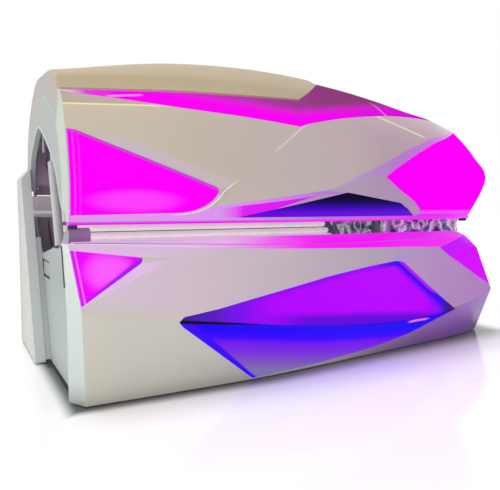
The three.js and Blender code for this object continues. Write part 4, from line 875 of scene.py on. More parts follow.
def corner_tone(l):
    tone = gradient(l, (-0.35, 0, 1), -0.1, 0.25, [(0, "#d80cfc"), (0.45, "#d604fd"), (0.75, "#c406fb"), (1, "#9c1af2")])
    return l.mix(l.ease(l.axis(Z), 0.30, 0.24), tone, "#b84ce0")


CORNER = lit("corner_glow", corner_tone, 0.97, 0.04, 0.03)


def upper_tone(l):
    """The upper fascia: pale, with a painted pink glow beside the lit triangle and a painted lilac glow of the lit
    panels to the right.
    """
    x = l.axis(X)
    tone = l.ramp(l.span(x, -1.1, 1.15), [(0, "#dfcbda"), (0.2, "#d7c4d1"), (0.4, "#c9b8c3"), (0.58, "#b8aab9"),
                                          (0.7, "#b69cc0"), (0.82, "#b788c8"), (1, "#b47bc4")])
    low = l.line(low_at(-0.969, 0.578), low_at(-0.40, 0.415))
    tone = l.mix(l.both(l.ease(low, 0.075, 0.0), l.ease(x, -0.20, -0.60)), tone, "#d4cac8")
    # Painted glow: the facet beside the lit triangle and the brow above its tip take its pink light.
    facet = l.line(low_at(-0.975, 0.613), low_at(-0.680, 0.865))
    pink = l.both(l.ease(facet, -0.003, 0.003), l.ease(x, -0.74, -0.88))
    tone = l.mix(l.calc("MULTIPLY", pink, 0.9), tone, "#efc6f3")
    tip = l.line(low_at(-0.769, 0.885), low_at(-0.623, 0.876))
    thin = l.calc("SUBTRACT", l.span(x, -0.88, -0.715, 0.013, 0.0), l.calc("ABSOLUTE", tip))
    tone = l.mix(l.both(l.ease(thin, 0.0, 0.003), l.ease(x, -0.90, -0.87)), tone, "#cfc6bd")
    brow = l.both(l.ease(tip, 0.004, 0.030), l.ease(x, -0.55, -0.80))
    tone = l.mix(l.calc("MULTIPLY", brow, 0.8), tone, "#e2c2e4")
    # Painted glow of the centre light on the fascia beside the recess's top right corner.
    side = l.line(low_at(0.41, 0.855), low_at(0.46, 0.775))
    halo = l.both(l.blob(0.49, 0.448, 0.085, 0.042), l.ease(side, 0.006, -0.004))
    return l.mix(l.calc("MULTIPLY", halo, 0.5), tone, "#a58af0")


FASCIA_UP = plastic("fascia_upper", upper_tone)
# Painted light: the lower fascia is white; its purple towards the right stands for the glow of the lit panels there.
FASCIA_LOW = plastic("fascia_lower", lambda l: gradient(
    l, X, -1.1, 1.15, [(0, "#d2cec1"), (0.25, "#cac6bc"), (0.36, "#cfc6c6"), (0.5, "#cdbfc7"), (0.62, "#aa90b8"),
                       (0.75, "#9f69c2"), (0.88, "#945abc"), (1, "#9458bc")]))
# Painted light: the white corner strip takes the cool green-grey of the light on the ends, and is darker towards the
# bottom.
CORNER_STRIP = plastic("fascia_corner", lambda l: gradient(
    l, Z, 0.0, 0.57, [(0, "#b0b6b2"), (0.15, "#ccd6d0"), (0.5, "#d2dbd5"), (1, "#d7e0da")]))
PINK_STRIP = lit("rim_strip", lambda l: gradient(
    l, X, -1.1, 1.15, [(0, "#e6c9ea"), (0.2, "#e7c2ec"), (0.33, "#f07af4"), (0.43, "#fc24fc"), (0.75, "#fb10fb"),
                       (0.92, "#f224f4"), (1, "#c060dc")]), 0.85, 0.12, 0.1)
RIM_GLOSS = lit("rim_gloss", lambda l: l.mix(
    l.ease(l.axis(Y), -0.49, -0.47),
    gradient(l, X, -1.05, 1.1, [(0, "#d0acda"), (0.12, "#e2b6e8"), (0.26, "#edb4f2"), (0.36, "#f75cf9"), (0.46, "#fd14fd"),
                                (0.8, "#fb0cfb"), (1, "#ee3cf2")]),
    gradient(l, X, -1.05, 1.1, [(0, "#d4aedd"), (0.26, "#ecaef0"), (0.42, "#f22cfb"), (0.8, "#ee18f8"), (1, "#e64cf0")])), 0.85, 0.1, 0.1)
LIP_GLOW = lit("lip_glow", lambda l: l.mix(
    l.ease(l.axis(Z), 0.646, 0.652), gradient(l, X, -1.1, 1.1, [(0, "#f406f6"), (0.5, "#f800fa"), (1, "#f000f8")]),
    gradient(l, X, -1.1, 1.1, [(0, "#b478c8"), (0.64, "#b478c8"), (0.74, "#dc38f0"), (1, "#e224f6")])), 0.9, 0.15, 0.1)
# Painted light: the end panels and caps are white plastic; their cool green-grey tones stand for cooler light on the
# ends, the paler edge strip for light catching the bevel, and the warmer top for warm light from above.
MINT = plastic("end_plastic", lambda l: gradient(
    l, Z, 0.0, 1.35, [(0, "#bac2c0"), (0.2, "#b2bab9"), (0.3, "#a8b1b0"), (0.46, "#adb5b3"), (0.6, "#b0b8b5"), (0.75, "#adb4b0"), (1, "#b0b5b0")]), 0.4, 0.5, 0.0, 260,
    Specular_IOR_Level=0.2)
CAP_TOP = plastic("cap_top", lambda l: gradient(
    l, Z, 1.0, 1.35, [(0, "#b2b2ae"), (0.5, "#b6ada9"), (1, "#b3a8a3")]), 0.4, 0.5, 0.0, 260, Specular_IOR_Level=0.2)
MINT_EDGE = plastic("end_edge", lambda l: gradient(
    l, Z, 0.6, 1.2, [(0, "#cfccd0"), (0.3, "#ccd3ca"), (0.7, "#cbd2c7"), (1, "#c9cfc3")]), 0.4, 0.5, 0.0, Specular_IOR_Level=0.2)
WHITE = plastic("shell_white", "#d9d4d6", 0.25, 0.35, 0.2)
LIP_WHITE = plastic("lip_white", "#e6dfe2", 0.2, 0.3, 0.3)
# Painted light: the liner and the deck glow though they hold no lamp, to lighten them where they stand in shade.
LINER = lit("liner_mauve", lambda l: gradient(
    l, Z, 0.6, 1.1, [(0, "#a99db4"), (0.5, "#9485a6"), (1, "#7c6a96")]), 0.5, 0.7, 0.3)
DECK = lit("deck_white", lambda l: gradient(l, X, 0.7, 1.1, [(0, "#b3a8ba"), (1, "#a498b0")]), 0.45, 0.7, 0.3)
TRIM = plastic("trim_mauve", lambda l: gradient(l, X, -1.12, -1.04, [(0, "#94869f"), (1, "#a89bb0")]), 0.35, 0.45, 0.1)
# Painted light: the posts take the cool green-grey of the light on the ends, and are darker towards the rear.
POST = plastic("post_plastic", lambda l: gradient(
    l, Y, 0.3, 0.6, [(0, "#cdd2cc"), (0.5, "#c9cbc5"), (1, "#bcb7b7")]), 0.4, 0.5, 0.0, 260, Specular_IOR_Level=0.2)
STEEL = metal("frame_paint", "#808488", 0.4, 0.55, None, 0.35)
PIN = metal("pin_steel", "#c4c6ca", 0.18, 0.3, (1, 40, 40))
GEAR = metal("gear_zinc", "#9a9da2", 0.35, 0.5, (1, 20, 1), 0.8)
MIRROR = metal("reflector_foil", "#b9a8cc", 0.12, 0.2, (1, 30, 30))
HOLDER = plastic("holder_plastic", "#8a7f98", 0.45, 0.55, 0.0, 500)
RUBBER = rubber("rubber_black", "#2b2a30")
BLACK = plastic("black_plastic", "#2e2e32", 0.5, 0.62, 0.0, 600)
SEAM_DARK = plastic("seam_mauve", "#8d76a0", 0.5, 0.6, 0.0, 600)
# Dark colour for tubes that stand for the shadow in gaps.
SHADOW_GAP = plastic("shadow_gap_dark", "#4a4453", 0.5, 0.6, 0.0, 600)
CONSOLE = plastic("console_plastic", "#3d3b47", 0.38, 0.5, 0.1, 600)
BUTTON = plastic("button_plastic", "#d9d9df", 0.35, 0.45, 0.1)
SLEEVE = plastic("sleeve_paint", "#c6cbc8", 0.28, 0.36, 0.2)
ACRYLIC = glass("clear_acrylic", "#f2ecf6", 0.03, 0.07)
FILTER = glass("filter_glass", "#8c7cc0", 0.04, 0.08)


def tube_glass():
    look = Look("lamp_glass", Coat_Weight=0.5, Coat_Roughness=0.03, Emission_Strength=0.85)
    base = look.ramp(look.noise(2, 3, (0.3, 6, 6)), [(0.3, "#d6cac8"), (0.7, "#ddd2d2")])
    look.set("Base Color", base)
    look.set("Emission Color", base)
    look.rough(0.22, 0.32, 20)
    look.bumps((look.noise(300, 2), 0.03, 0.0002))
    return look.mat


TUBE = tube_glass()


def facet_chrome():
    """Cut reflectors: each facet's colour and glow are a painted reflection of another part of a dark and bright room.
    """
    look = Look("facet_chrome", Metallic=0.3, Emission_Strength=0.3)
    base = look.ramp(look.noise(15, 1), [(0.30, "#31245c"), (0.40, "#80768c"), (0.47, "#a29aa6"), (0.52, "#dcd6de"),
                                         (0.56, "#8f8698"), (0.64, "#4b3a70"), (0.74, "#8a809a")])
    look.set("Base Color", base)
    look.set("Emission Color", base)
    look.rough(0.12, 0.22, 60)
    look.bumps((look.noise(300, 2), 0.05, 0.0003))
    return look.mat


CHROME = facet_chrome()

# Canopy outlines, in share of half length and of canopy height

ROOF_EDGE = [(-1.1, 0.628), (-0.799, 0.655), (-0.586, 0.674), (-0.348, 0.686), (-0.086, 0.699), (0.014, 0.783),
             (0.09, 0.843)]
BAND_EDGE = [(-1.1, 0.638), (-0.985, 0.628), (-0.805, 0.609), (-0.603, 0.583), (-0.338, 0.557), (-0.121, 0.528),
             (-0.085, 0.549), (0.094, 0.605), (0.31, 0.652), (0.485, 0.676), (0.734, 0.69), (1.1, 0.7)]
LEFT_LENS = [(-1.02, 0.446), (-0.96, 0.437), (-0.482, 0.162), (-0.52, 0.09), (-0.566, 0.055), (-0.62, 0.039),
             (-1.02, 0.028)]
NOSE_LENS = [(0.272, 0.254), (0.353, 0.321), (0.48, 0.41), (0.636, 0.504), (0.927, 0.619), (1.1, 0.68), (1.1, 0.022),
             (0.515, 0.024), (0.495, 0.06), (0.443, 0.114), (0.359, 0.17)]
GLOW_STRIP = [(-0.512, 0.03), (-0.5, 0.05), (-0.465, 0.064), (-0.406, 0.075), (-0.242, 0.102), (-0.04, 0.14),
              (0.07, 0.154), (-0.153, 0.086), (-0.41, 0.012), (-0.505, 0.014)]
VISOR_EDGE = [(0.07, 0.154), (0.1, 0.148), (0.37, 0.094), (0.42, 0.058), (0.470, 0.011), (-0.41, 0.012),
              (-0.153, 0.086)]


def on_skin(points, closed=True):
    """An outline in x and z laid on the canopy front, as x and girth."""
    p = dense(points, 0.012, closed)
    k = canopy_k(np.clip(p[:, 0], -HALF, HALF), p[:, 1])
    return np.stack([p[:, 0], to_girth(k)], -1)


def skin_rear(x, y):
    """Girth at which the canopy skin behind its crown reaches depth y."""
    a, b = np.full(np.shape(x), 6.0), np.full(np.shape(x), 12.0)
    for _ in range(30):
        m = (a + b) / 2
        before = section(x, m)[0] < y
        a, b = np.where(before, m, a), np.where(before, b, m)
    return to_girth((a + b) / 2)


def canopy_sheet(name, include, exclude, lift, thick, materials, guides=(), zones=(), relief=None, spacing=0.018):
    co, tris = cut_sheet(include, exclude, guides, spacing)
    k = to_k(co[:, 1])
    level = np.full(len(co), lift)
    if relief is not None:
        level = level - relief(co[:, 0], section(co[:, 0], k)[1])
    outer = canopy_point(co[:, 0], k, level)
    inner = canopy_point(co[:, 0], k, level - thick)
    mid = co[tris].mean(1)
    index = np.zeros(len(tris), int)
    for number, area in zones:
        index[inside(mid, area)] = number
    return shell(name, outer, inner, tris, materials, index, 40)


LEFT_END = 1.131
end = SHELL_END
whole_front = dense([(-LEFT_END, 0.0), (end, 0.0), (end, to_girth(6)), (-LEFT_END, to_girth(6))], 0.012)
band_path = on_canopy(curve(BAND_EDGE, corners=(1, 5, 6), step=0.01))
band_skin = on_skin(band_path, closed=False)
under_band = np.concatenate([band_skin, [(1.3, -0.1), (-1.3, -0.1)]])
left_lens = on_skin(rounded(on_canopy(LEFT_LENS), [0.012, 0.012, 0.03, 0.05, 0.05, 0.05, 0.02]))
nose_lens = on_skin(rounded(on_canopy(NOSE_LENS), [0.012, 0.03, 0.05, 0.05, 0.05, 0, 0, 0, 0.02, 0.04, 0.04]))
glow_strip = on_skin(on_canopy(GLOW_STRIP))
visor_edge = on_skin(on_canopy(VISOR_EDGE))

chamfer = on_skin(on_canopy([(-0.03, 0.166), (-0.001, 0.178), (0.115, 0.248), (0.25, 0.325), (0.429, 0.436),
                             (0.623, 0.534), (0.831, 0.602), (1.1, 0.692), (1.1, 0.68), (0.927, 0.619),
                             (0.636, 0.504), (0.48, 0.41), (0.353, 0.321), (0.272, 0.254), (0.245, 0.265),
                             (0.022, 0.182)]))
mauve = on_skin(on_canopy([(-0.045, 0.160), (-0.03, 0.168), (0.022, 0.182), (0.245, 0.265), (0.272, 0.254),
                           (0.359, 0.17), (0.443, 0.114), (0.495, 0.06), (0.515, 0.024), (0.470, 0.011), (0.42, 0.058),
                           (0.37, 0.094), (0.07, 0.154)]))
lilac = on_skin(on_canopy([(-0.985, 0.46), (-0.761, 0.395), (-0.541, 0.306), (-0.416, 0.222), (-0.416, 0.205),
                           (-0.482, 0.162), (-0.96, 0.437)]))
low_strip = on_skin(on_canopy([(-1.1, -0.02), (1.1, -0.02), (1.1, 0.027), (0.513, 0.027), (0.470, 0.011), (-0.41, 0.011),
                               (0.07, 0.154), (-0.045, 0.164), (-0.3, 0.112), (-0.542, 0.064), (-0.566, 0.055),
                               (-0.62, 0.036), (-0.99, 0.026), (-1.1, 0.026)]))


def front_relief(x, z):
    """Depth of the hollow above the left lit panel."""
    u, w = x / HALF, (z - LIP) / CANOPY
    top = np.interp(u, [-0.985, -0.761, -0.541, -0.416], [0.45, 0.387, 0.298, 0.212])
    edge = np.interp(u, [-0.96, -0.482, -0.416], [0.437, 0.162, 0.14])
    share = np.clip((top - w) / np.maximum(top - edge, 0.004), 0, 1)
    fade = np.clip((u + 0.985) / 0.2, 0, 1) * np.clip((-0.42 - u) / 0.08, 0, 1)
    inside_hollow = (w < top) & (w > edge - 0.03)
    return np.where(inside_hollow, 0.007 * share ** 1.5 * fade, 0)


front_panel = canopy_sheet(
    "canopy_front", [under_band, whole_front], [left_lens, nose_lens, glow_strip, visor_edge], 0.0, 0.006,
    [FRONT, LILAC, CHAMFER, MAUVE, STRIP], guides=[lilac, chamfer, mauve, low_strip],
    zones=[(1, lilac), (2, chamfer), (3, mauve), (4, low_strip)], relief=front_relief, spacing=0.016)
bevel(front_panel, 0.0012)
give(front_panel, "canopy", "white_shell", "canopy_front_panel")

for name, edge, lift, look, slot, node in (
        ("canopy_left_glow", left_lens, -0.004, LENS, "lit_magenta", "canopy_left_light"),
        ("canopy_nose_glow", nose_lens, 0.0, GLOW, "lit_magenta", "canopy_nose_light"),
        ("canopy_strip_glow", glow_strip, -0.004, RECESS_GLOW, "lit_magenta", "canopy_glow_strip"),
        ("canopy_visor_glass", visor_edge, -0.004, VISOR, "visor_dark", "canopy_visor")):
    piece = canopy_sheet(name, [edge, whole_front], [], lift, 0.005, [look], spacing=0.018)
    bevel(piece, 0.001)
    give(piece, "canopy", slot, node)

def skin_bead(name, points, radius, material):
    """A fine raised lip that follows the canopy front."""
    path = on_skin(on_canopy(curve(points, step=0.008)), closed=False)
    spots = canopy_point(path[:, 0], to_k(path[:, 1]), 0.0002)
    n = len(spots)
    sizes = [max(0.0004, radius * min(1, 8 * i / n, 8 * (n - 1 - i) / n)) for i in range(n)]
    return tube(name, spots, sizes, material, 8)


give(skin_bead("canopy_lens_lip", [(-0.66, 0.030), (-0.615, 0.034), (-0.56, 0.05), (-0.51, 0.09), (-0.47, 0.155),
                                   (-0.445, 0.184), (-0.412, 0.214)], 0.0042, LIP_WHITE), "canopy", "white_shell")

# Roof cover and lit band reach over the crown

ROOF_REAR, BAND_REAR = 0.465 * DEEP, 0.465 * DEEP - 0.0153
roof_path = on_skin(on_canopy(curve(ROOF_EDGE, corners=(4,), step=0.01)), closed=False)
roof_end = roof_path[-1]
side_x = np.linspace(0.09, 0.104, 30) * HALF
side_girth = np.linspace(roof_end[1], float(skin_rear(0.104 * HALF, ROOF_REAR)), 30)
rear_x = np.linspace(0.104 * HALF, -1.3, 110)
rear_line = np.stack([rear_x, skin_rear(np.clip(rear_x, -HALF, HALF), np.full(110, ROOF_REAR))], -1)
roof_area = np.concatenate([roof_path, np.stack([side_x, side_girth], -1)[1:-1], rear_line])
whole_skin = dense([(-LEFT_END, 0.0), (end, 0.0), (end, GIRTH[-1]), (-LEFT_END, GIRTH[-1])], 0.016)
roof = canopy_sheet("canopy_roof", [roof_area, whole_skin], [], 0.0103, 0.010, [ROOF], spacing=0.022)
bevel(roof, 0.003, 3)
give(roof, "canopy", "roof_beige", "canopy_roof_cover")

band_x = np.linspace(1.3, -1.3, 170)
band_rear = np.stack([band_x, skin_rear(np.clip(band_x, -HALF, HALF), np.full(170, BAND_REAR))], -1)
band_area = np.concatenate([band_skin, band_rear])
band = canopy_sheet("canopy_band", [band_area, whole_skin], [], 0.0, 0.006, [BAND], spacing=0.022)
bevel(band, 0.0012)
give(band, "canopy", "lit_plum", "canopy_top_light")

rear_top = np.stack([band_x, band_rear[:, 1] + 0.0006], -1)
rear_area = np.concatenate([rear_top[::-1], [(1.3, 9.0), (-1.3, 9.0)]])
rear = canopy_sheet("canopy_rear", [rear_area, whole_skin], [], 0.0, 0.006, [WHITE], spacing=0.026)
bevel(rear, 0.0015)
give(rear, "canopy", "white_shell", "canopy_rear_panel")


# End caps with their tunnel arches

def spline(points, count):
    p = np.array(points, float)
    n = len(p) - 1
    k = np.linspace(0, n, count + 1)
    i = np.clip(np.floor(k).astype(int), 0, n - 1)
    t = (k - i)[:, None]
    p0, p1, p2, p3 = p[np.maximum(i - 1, 0)], p[i], p[i + 1], p[np.minimum(i + 2, n)]
    v0, v1 = (p2 - p0) / 2, (p3 - p1) / 2
    return (2 * p1 - 2 * p2 + v0 + v1) * t ** 3 + (-3 * p1 + 3 * p2 - 2 * v0 - v1) * t * t + v0 * t + p1


def arch(knots, count):
    return spline([(v * DEEP, LIP + w * CANOPY) for v, w in knots], count)


def beside(path, distance):
    way = np.gradient(path, axis=0)
    way /= np.linalg.norm(way, axis=1, keepdims=True)
    return path + np.stack([-way[:, 1], way[:, 0]], -1) * distance


ARCH = arch([(-0.729, 0), (-0.725, 0.03), (-0.633, 0.105), (-0.493, 0.254), (-0.298, 0.37), (0.007, 0.492),
             (0.204, 0.53), (0.481, 0.44), (0.624, 0.339), (0.653, 0.168)], 72)
HEAD_ARCH = arch([(-0.5, 0), (-0.48, 0.1), (-0.4, 0.24), (-0.25, 0.36), (0, 0.46), (0.204, 0.5), (0.45, 0.42),
                  (0.59, 0.32), (0.64, 0.19)], 64)
END_CAP = 0.022
HINGE = (0.470, 0.800)


FACE_K = [0, 0.12, 0.85, 1.75, 2.63]
FACE_Y, FACE_Z = [-0.440, -0.442, -0.451, -0.359, -0.412], [0.653, 0.677, 0.823, 1.004, 1.129]


def cap_ring(side, share):
    """The edge of an end cap: share 0 is the shell side of its bevel, 1 the face side."""
    k = np.linspace(0, 12, 145)
    begin = (LEFT_END if side < 0 else SHELL_END) + 0.0004
    y, z = section(np.full(145, side * begin), k)
    way = np.stack([np.gradient(y), np.gradient(z)], -1)
    way /= np.linalg.norm(way, axis=1, keepdims=True)
    normal = np.stack([-way[:, 1], way[:, 0]], -1)
    skin = np.stack([y, z], -1)
    face = skin - normal * (0.004 if side < 0 else 0.016)
    if side < 0:
        roof = np.clip((k - 2.63) / 0.15, 0, 1) * np.clip((8.5 - k) / 0.3, 0, 1)
        skin = skin + normal * (0.009 * roof)[:, None]
        face = face + normal * (0.007 * roof)[:, None]
        low = k < FACE_K[-1]
        face[low] = np.stack([np.interp(k[low], FACE_K, FACE_Y), np.interp(k[low], FACE_K, FACE_Z)], -1)
    ring = skin * (1 - share) + face * share
    return np.stack([side * np.full(145, begin + (HALF - begin) * share), ring[:, 0], ring[:, 1]], -1), k


MINT_ARC = [(-0.47, 0.60), (-0.43, 0.88), (-0.356, 1.015), (-0.288, 1.073), (-0.094, 1.162), (0.096, 1.17),
            (0.296, 1.119), (0.45, 1.0), (0.60, 0.80), (0.62, 0.60)]


def end_cap(side, path, name):
    opening = np.concatenate([[[path[0][0], LIP - 0.12]], path, [[path[-1][0], LIP - 0.12]]])
    face = cap_ring(side, 1.0)[0]
    disc = [(HINGE[0] + 0.06 * math.cos(t), HINGE[1] + 0.06 * math.sin(t))
            for t in (2 * math.pi * k / 40 for k in range(40))]
    bore = [(HINGE[0] + 0.0147 * math.cos(t), HINGE[1] + 0.0147 * math.sin(t))
            for t in (2 * math.pi * k / 28 for k in range(28))]
    zone = np.array(curve(MINT_ARC, step=0.02))
    bm = bmesh.new()
    co, tris = cut_sheet([dense(face[:, 1:], 0.02)], [opening, bore], [disc, zone], 0.04)
    mint = inside(co[tris].mean(1), zone)
    skin = [bm.verts.new((side * HALF, p[0], p[1])) for p in co]
    back = [bm.verts.new((side * (HALF - END_CAP), p[0], p[1])) for p in co]
    directed = set()
    for t, low in zip(tris, mint):
        a, b, c = (int(i) for i in t)
        bm.faces.new((skin[a], skin[b], skin[c])).material_index = 0 if low else 2
        bm.faces.new((back[c], back[b], back[a])).material_index = 0
        directed |= {(a, b), (b, c), (c, a)}
    for a, b in directed:
        if (b, a) not in directed:
            bm.faces.new((skin[b], skin[a], back[a], back[b]))
    start = cap_ring(side, 0.0)[0]
    outer = start * 0.985 + np.array([0, 0.05, 0.9]) * 0.015
    outer[:, 0] = side * (HALF - END_CAP)
    k = cap_ring(side, 0.0)[1]
    rings = [outer, start, cap_ring(side, 0.06)[0], cap_ring(side, 0.94)[0], face]
    rings = [[bm.verts.new(tuple(p)) for p in ring] for ring in rings]
    for ra, rb in zip(rings, rings[1:]):
        for i in range(len(ra) - 1):
            f = bm.faces.new((ra[i], ra[i + 1], rb[i + 1], rb[i]))
            f.material_index = 3 if side < 0 and 2.63 < (k[i] + k[i + 1]) / 2 < 8.4 else 1
    bmesh.ops.remove_doubles(bm, verts=bm.verts, dist=1e-6)
    bmesh.ops.recalc_face_normals(bm, faces=bm.faces)
    mesh = bpy.data.meshes.new(name)
    bm.to_mesh(mesh)
    bm.free()
    for m in (MINT, MINT_EDGE, CAP_TOP, ROOF):
        mesh.materials.append(m)
    obj = bpy.data.objects.new(name, mesh)
    scene.collection.objects.link(obj)
    soften(obj, 25)
    return obj


left_cap = end_cap(-1, ARCH, "left_cap")
give(left_cap, "canopy", "mint_panel", "canopy_left_end_cap")
right_cap = end_cap(1, HEAD_ARCH, "right_cap")
give(right_cap, "canopy", "mint_panel", "canopy_right_end_cap")


def arch_bead(name, side):
    """A fine step on the end cap's face, around the tunnel arch."""
    path = np.array(curve(MINT_ARC[1:-1], step=0.012))[2:-2]
    spots = np.stack([np.full(len(path), side * HALF), path[:, 0], path[:, 1]], -1)
    return tube(name, spots, 0.0016, MINT_EDGE, 8)


def arch_lip(name, path, side):
    """The rounded edge of the tunnel arch."""
    keep = path[2:-4]
    spots = np.stack([np.full(len(keep), side * (HALF - 0.001)), keep[:, 0], keep[:, 1]], -1)
    spots[:, 1:] = beside(keep, 0.004)
    return tube(name, spots, 0.0042, MINT_EDGE, 10)


for side, tag, path in ((-1, "left", ARCH), (1, "right", HEAD_ARCH)):
    give(arch_bead(tag + "_cap_step", side), "canopy", "mint_panel")
    give(arch_lip(tag + "_arch_lip", path, side), "canopy", "mint_panel")

# Base front: fascia, rim and lit panels

TRI = [(-0.9925, 0.957), (-0.765, 0.897), (-0.772, 0.862), (-0.9745, 0.617)]
CORNER_EDGE = [(0.711, 0.844), (0.751, 0.787), (0.821, 0.708), (0.888, 0.626), (0.947, 0.545), (1.003, 0.472),
               (1.05, 0.41), (1.05, 0.99), (0.985, 0.965)]
UPPER = [(-0.669, 0.478), (-0.651, 0.507), (-0.517, 0.538), (-0.395, 0.577), (-0.019, 0.69), (0.209, 0.739),
         (0.376, 0.761), (0.43, 0.748), (0.738, 0.281)]
LOWER = [(-0.669, 0.478), (-0.657, 0.445), (-0.383, 0.012), (-0.17, 0.021), (-0.018, 0.028), (0.206, 0.054),
         (0.334, 0.088), (0.441, 0.122), (0.738, 0.281)]
DIVIDE = [(-0.664, 0.487), (-0.448, 0.421), (-0.211, 0.343), (-0.05, 0.299), (0.123, 0.261), (0.31, 0.235),
          (0.51, 0.225), (0.652, 0.249), (0.738, 0.281)]
J_STEP = 0.25


def on_front(points, closed=True):
    """An outline in x and z laid on the base front, as x and scaled rail place."""
    p = dense(points, 0.012, closed)
    return np.stack([p[:, 0], base_j(p[:, 0], p[:, 1]) * J_STEP], -1)


def left_edge_x(j):
    return np.interp(j, [0, 1, 2, 2.4, 3], [-0.969, -0.975, -0.996, -0.994, -0.98]) * HALF


seam_x = np.linspace(-0.994 * HALF, HALF, 150)
seam_line = np.stack([seam_x, (2 + SEAM(seam_x / HALF)) * J_STEP], -1)
left_j = np.concatenate([np.linspace(0, 1, 24), np.linspace(1, 2, 24)[1:], np.linspace(2, 2.4, 6)[1:-1]])
left_line = np.stack([left_edge_x(left_j), left_j * J_STEP], -1)
fascia_area = np.concatenate([
    left_line, seam_line, np.stack([np.full(60, HALF), np.linspace(2.7, 0, 60) * J_STEP], -1)[1:],
    np.stack([np.linspace(HALF, -0.969 * HALF, 170), np.zeros(170)], -1)[1:-1]])
crease = np.stack([np.linspace(-0.974 * HALF, HALF, 170), np.full(170, J_STEP)], -1)
top_edge = np.stack([np.linspace(-0.995 * HALF, HALF, 170), np.full(170, 2 * J_STEP)], -1)
triangle = on_front(rounded(on_base(TRI), [0.004, 0.02, 0.03, 0.008]))
recess_radii = [0.008, 0.008, 0.02, 0.02, 0.02, 0.03, 0.012, 0.02, 0.006, 0.03, 0.03, 0.03, 0.02, 0.02, 0.006, 0.01]
recess_xz = rounded(on_base(UPPER + LOWER[1:-1][::-1]), recess_radii)
recess = on_front(recess_xz)
corner = on_front(on_base(CORNER_EDGE))
LEFT_BACK = [(-1.007, -0.831, FLOOR_GAP / RIM), (-1.007, -0.831, 0.578), (-1.004, -0.69, 0.985),
             (-1.003, -0.672, 0.99)]
RIGHT_BACK = [(0.994, -0.46, FLOOR_GAP / RIM), (0.994, -0.62, 0.436), (0.994, -0.47, 0.82), (0.994, -0.45, 0.9)]


def back_point(rows, j, seam):
    p = np.array([(u * HALF, v * DEEP, w * RIM) for u, v, w in rows])
    return np.stack([np.interp(j, [0, 1, 2, seam], p[:, i]) for i in range(3)], -1)


def front_sheet(name, include, exclude, lift, thick, materials, guides=(), zones=(), sides=(), spacing=0.018):
    """A sheet on the base front; sides carry its edge round the corner to the end panels."""
    co, tris = cut_sheet(include, exclude, guides, spacing)
    j = co[:, 1] / J_STEP
    outer = base_point(co[:, 0], j, lift)
    inner = base_point(co[:, 0], j, lift - thick)
    mid = co[tris].mean(1)
    index = np.zeros(len(tris), int)
    for number, area in zones:
        index[inside(mid, area)] = number
    verts_o, verts_i, faces, mats = [outer], [inner], [tuple(t) for t in tris], list(index)
    n = len(co)
    directed = {(int(t[i]), int(t[(i + 1) % 3])) for t in tris for i in range(3)}
    border = [(a, b) for a, b in directed if (b, a) not in directed]
    for where, rows, seam, number, tip in sides:
        picked = [(a, b) for a, b in border if where(co[a], j[a]) and where(co[b], j[b])]
        ids = sorted({i for e in picked for i in e})
        new = {i: n + r for r, i in enumerate(ids)}
        far = back_point(rows, j[ids], seam)
        verts_o.append(far)
        verts_i.append(far + np.array([tip * thick, thick * 0.2, 0]))
        n += len(ids)
        for a, b in picked:
            faces += [(b, a, new[a]), (b, new[a], new[b])]
            mats += [number, number]
    return shell(name, np.concatenate(verts_o), np.concatenate(verts_i), np.array(faces), materials, mats, 28)


upper_area = np.array([(-2, J_STEP), (2, J_STEP), (2, 9), (-2, 9)])
strip_area = np.array([(-2, 2 * J_STEP), (2, 2 * J_STEP), (2, 9), (-2, 9)])
fascia = front_sheet(
    "base_fascia", [fascia_area], [triangle, recess, corner], 0.0, 0.006, [FASCIA_LOW, FASCIA_UP, CORNER_STRIP, PINK_STRIP],
    guides=[crease, top_edge], zones=[(1, upper_area), (3, strip_area)],
    sides=[(lambda p, j: abs(p[0] - left_edge_x(j)) < 0.0015, LEFT_BACK, 2.4, 2, 1),
           (lambda p, j: p[0] > HALF - 0.0015, RIGHT_BACK, 2.7, 0, -1)])
bevel(fascia, 0.002)
give(fascia, "base", "white_shell", "base_front_fascia")

rim_x = np.linspace(-0.978 * HALF, HALF, 150)
rim_area = np.concatenate([np.stack([rim_x, (2 + SEAM(rim_x / HALF)) * J_STEP + 0.0008], -1),
                           np.stack([rim_x[::-1], np.full(150, 3 * J_STEP)], -1)])
rim = front_sheet("base_rim", [rim_area], [corner], 0.0, 0.006, [RIM_GLOSS])
bevel(rim, 0.0025, 3)
give(rim, "base", "rim_gloss", "base_front_rim")

front_area = np.concatenate([np.stack([rim_x, np.zeros(150)], -1), np.stack([rim_x[::-1], np.full(150, 3 * J_STEP)], -1)])
tri_glow = front_sheet("base_left_glow", [triangle], [], -0.004, 0.005, [TRIANGLE], guides=[crease])
bevel(tri_glow, 0.001)
give(tri_glow, "base", "lit_magenta", "base_left_light")
corner_glow = front_sheet(
    "base_corner_glow", [corner, front_area], [], 0.0, 0.005, [CORNER], guides=[top_edge],
    sides=[(lambda p, j: p[0] > HALF - 0.0015, RIGHT_BACK, 3.0, 0, -1)])
bevel(corner_glow, 0.001)
give(corner_glow, "base", "lit_magenta", "base_corner_light")

bead_x = np.linspace(-0.972 * HALF, 0.70 * HALF, 90)
seam_bead = tube("base_rim_seam", base_point(bead_x, 2 + SEAM(bead_x / HALF), 0.0003), 0.0016, SEAM_DARK, 8)
give(seam_bead, "base", "white_shell")
# Painted shadow: a dark tube in the gap at the fascia's left corner.
corner_back = [(u * HALF - 0.0006, v * DEEP, w * RIM) for u, v, w in
               ((-1.0065, -0.782, 0.72), (-1.0055, -0.752, 0.80), (-1.0045, -0.71, 0.93), (-1.004, -0.69, 0.975))]
give(tube("left_corner_shadow_gap", corner_back, 0.0032, SHADOW_GAP, 8), "base", "white_shell")

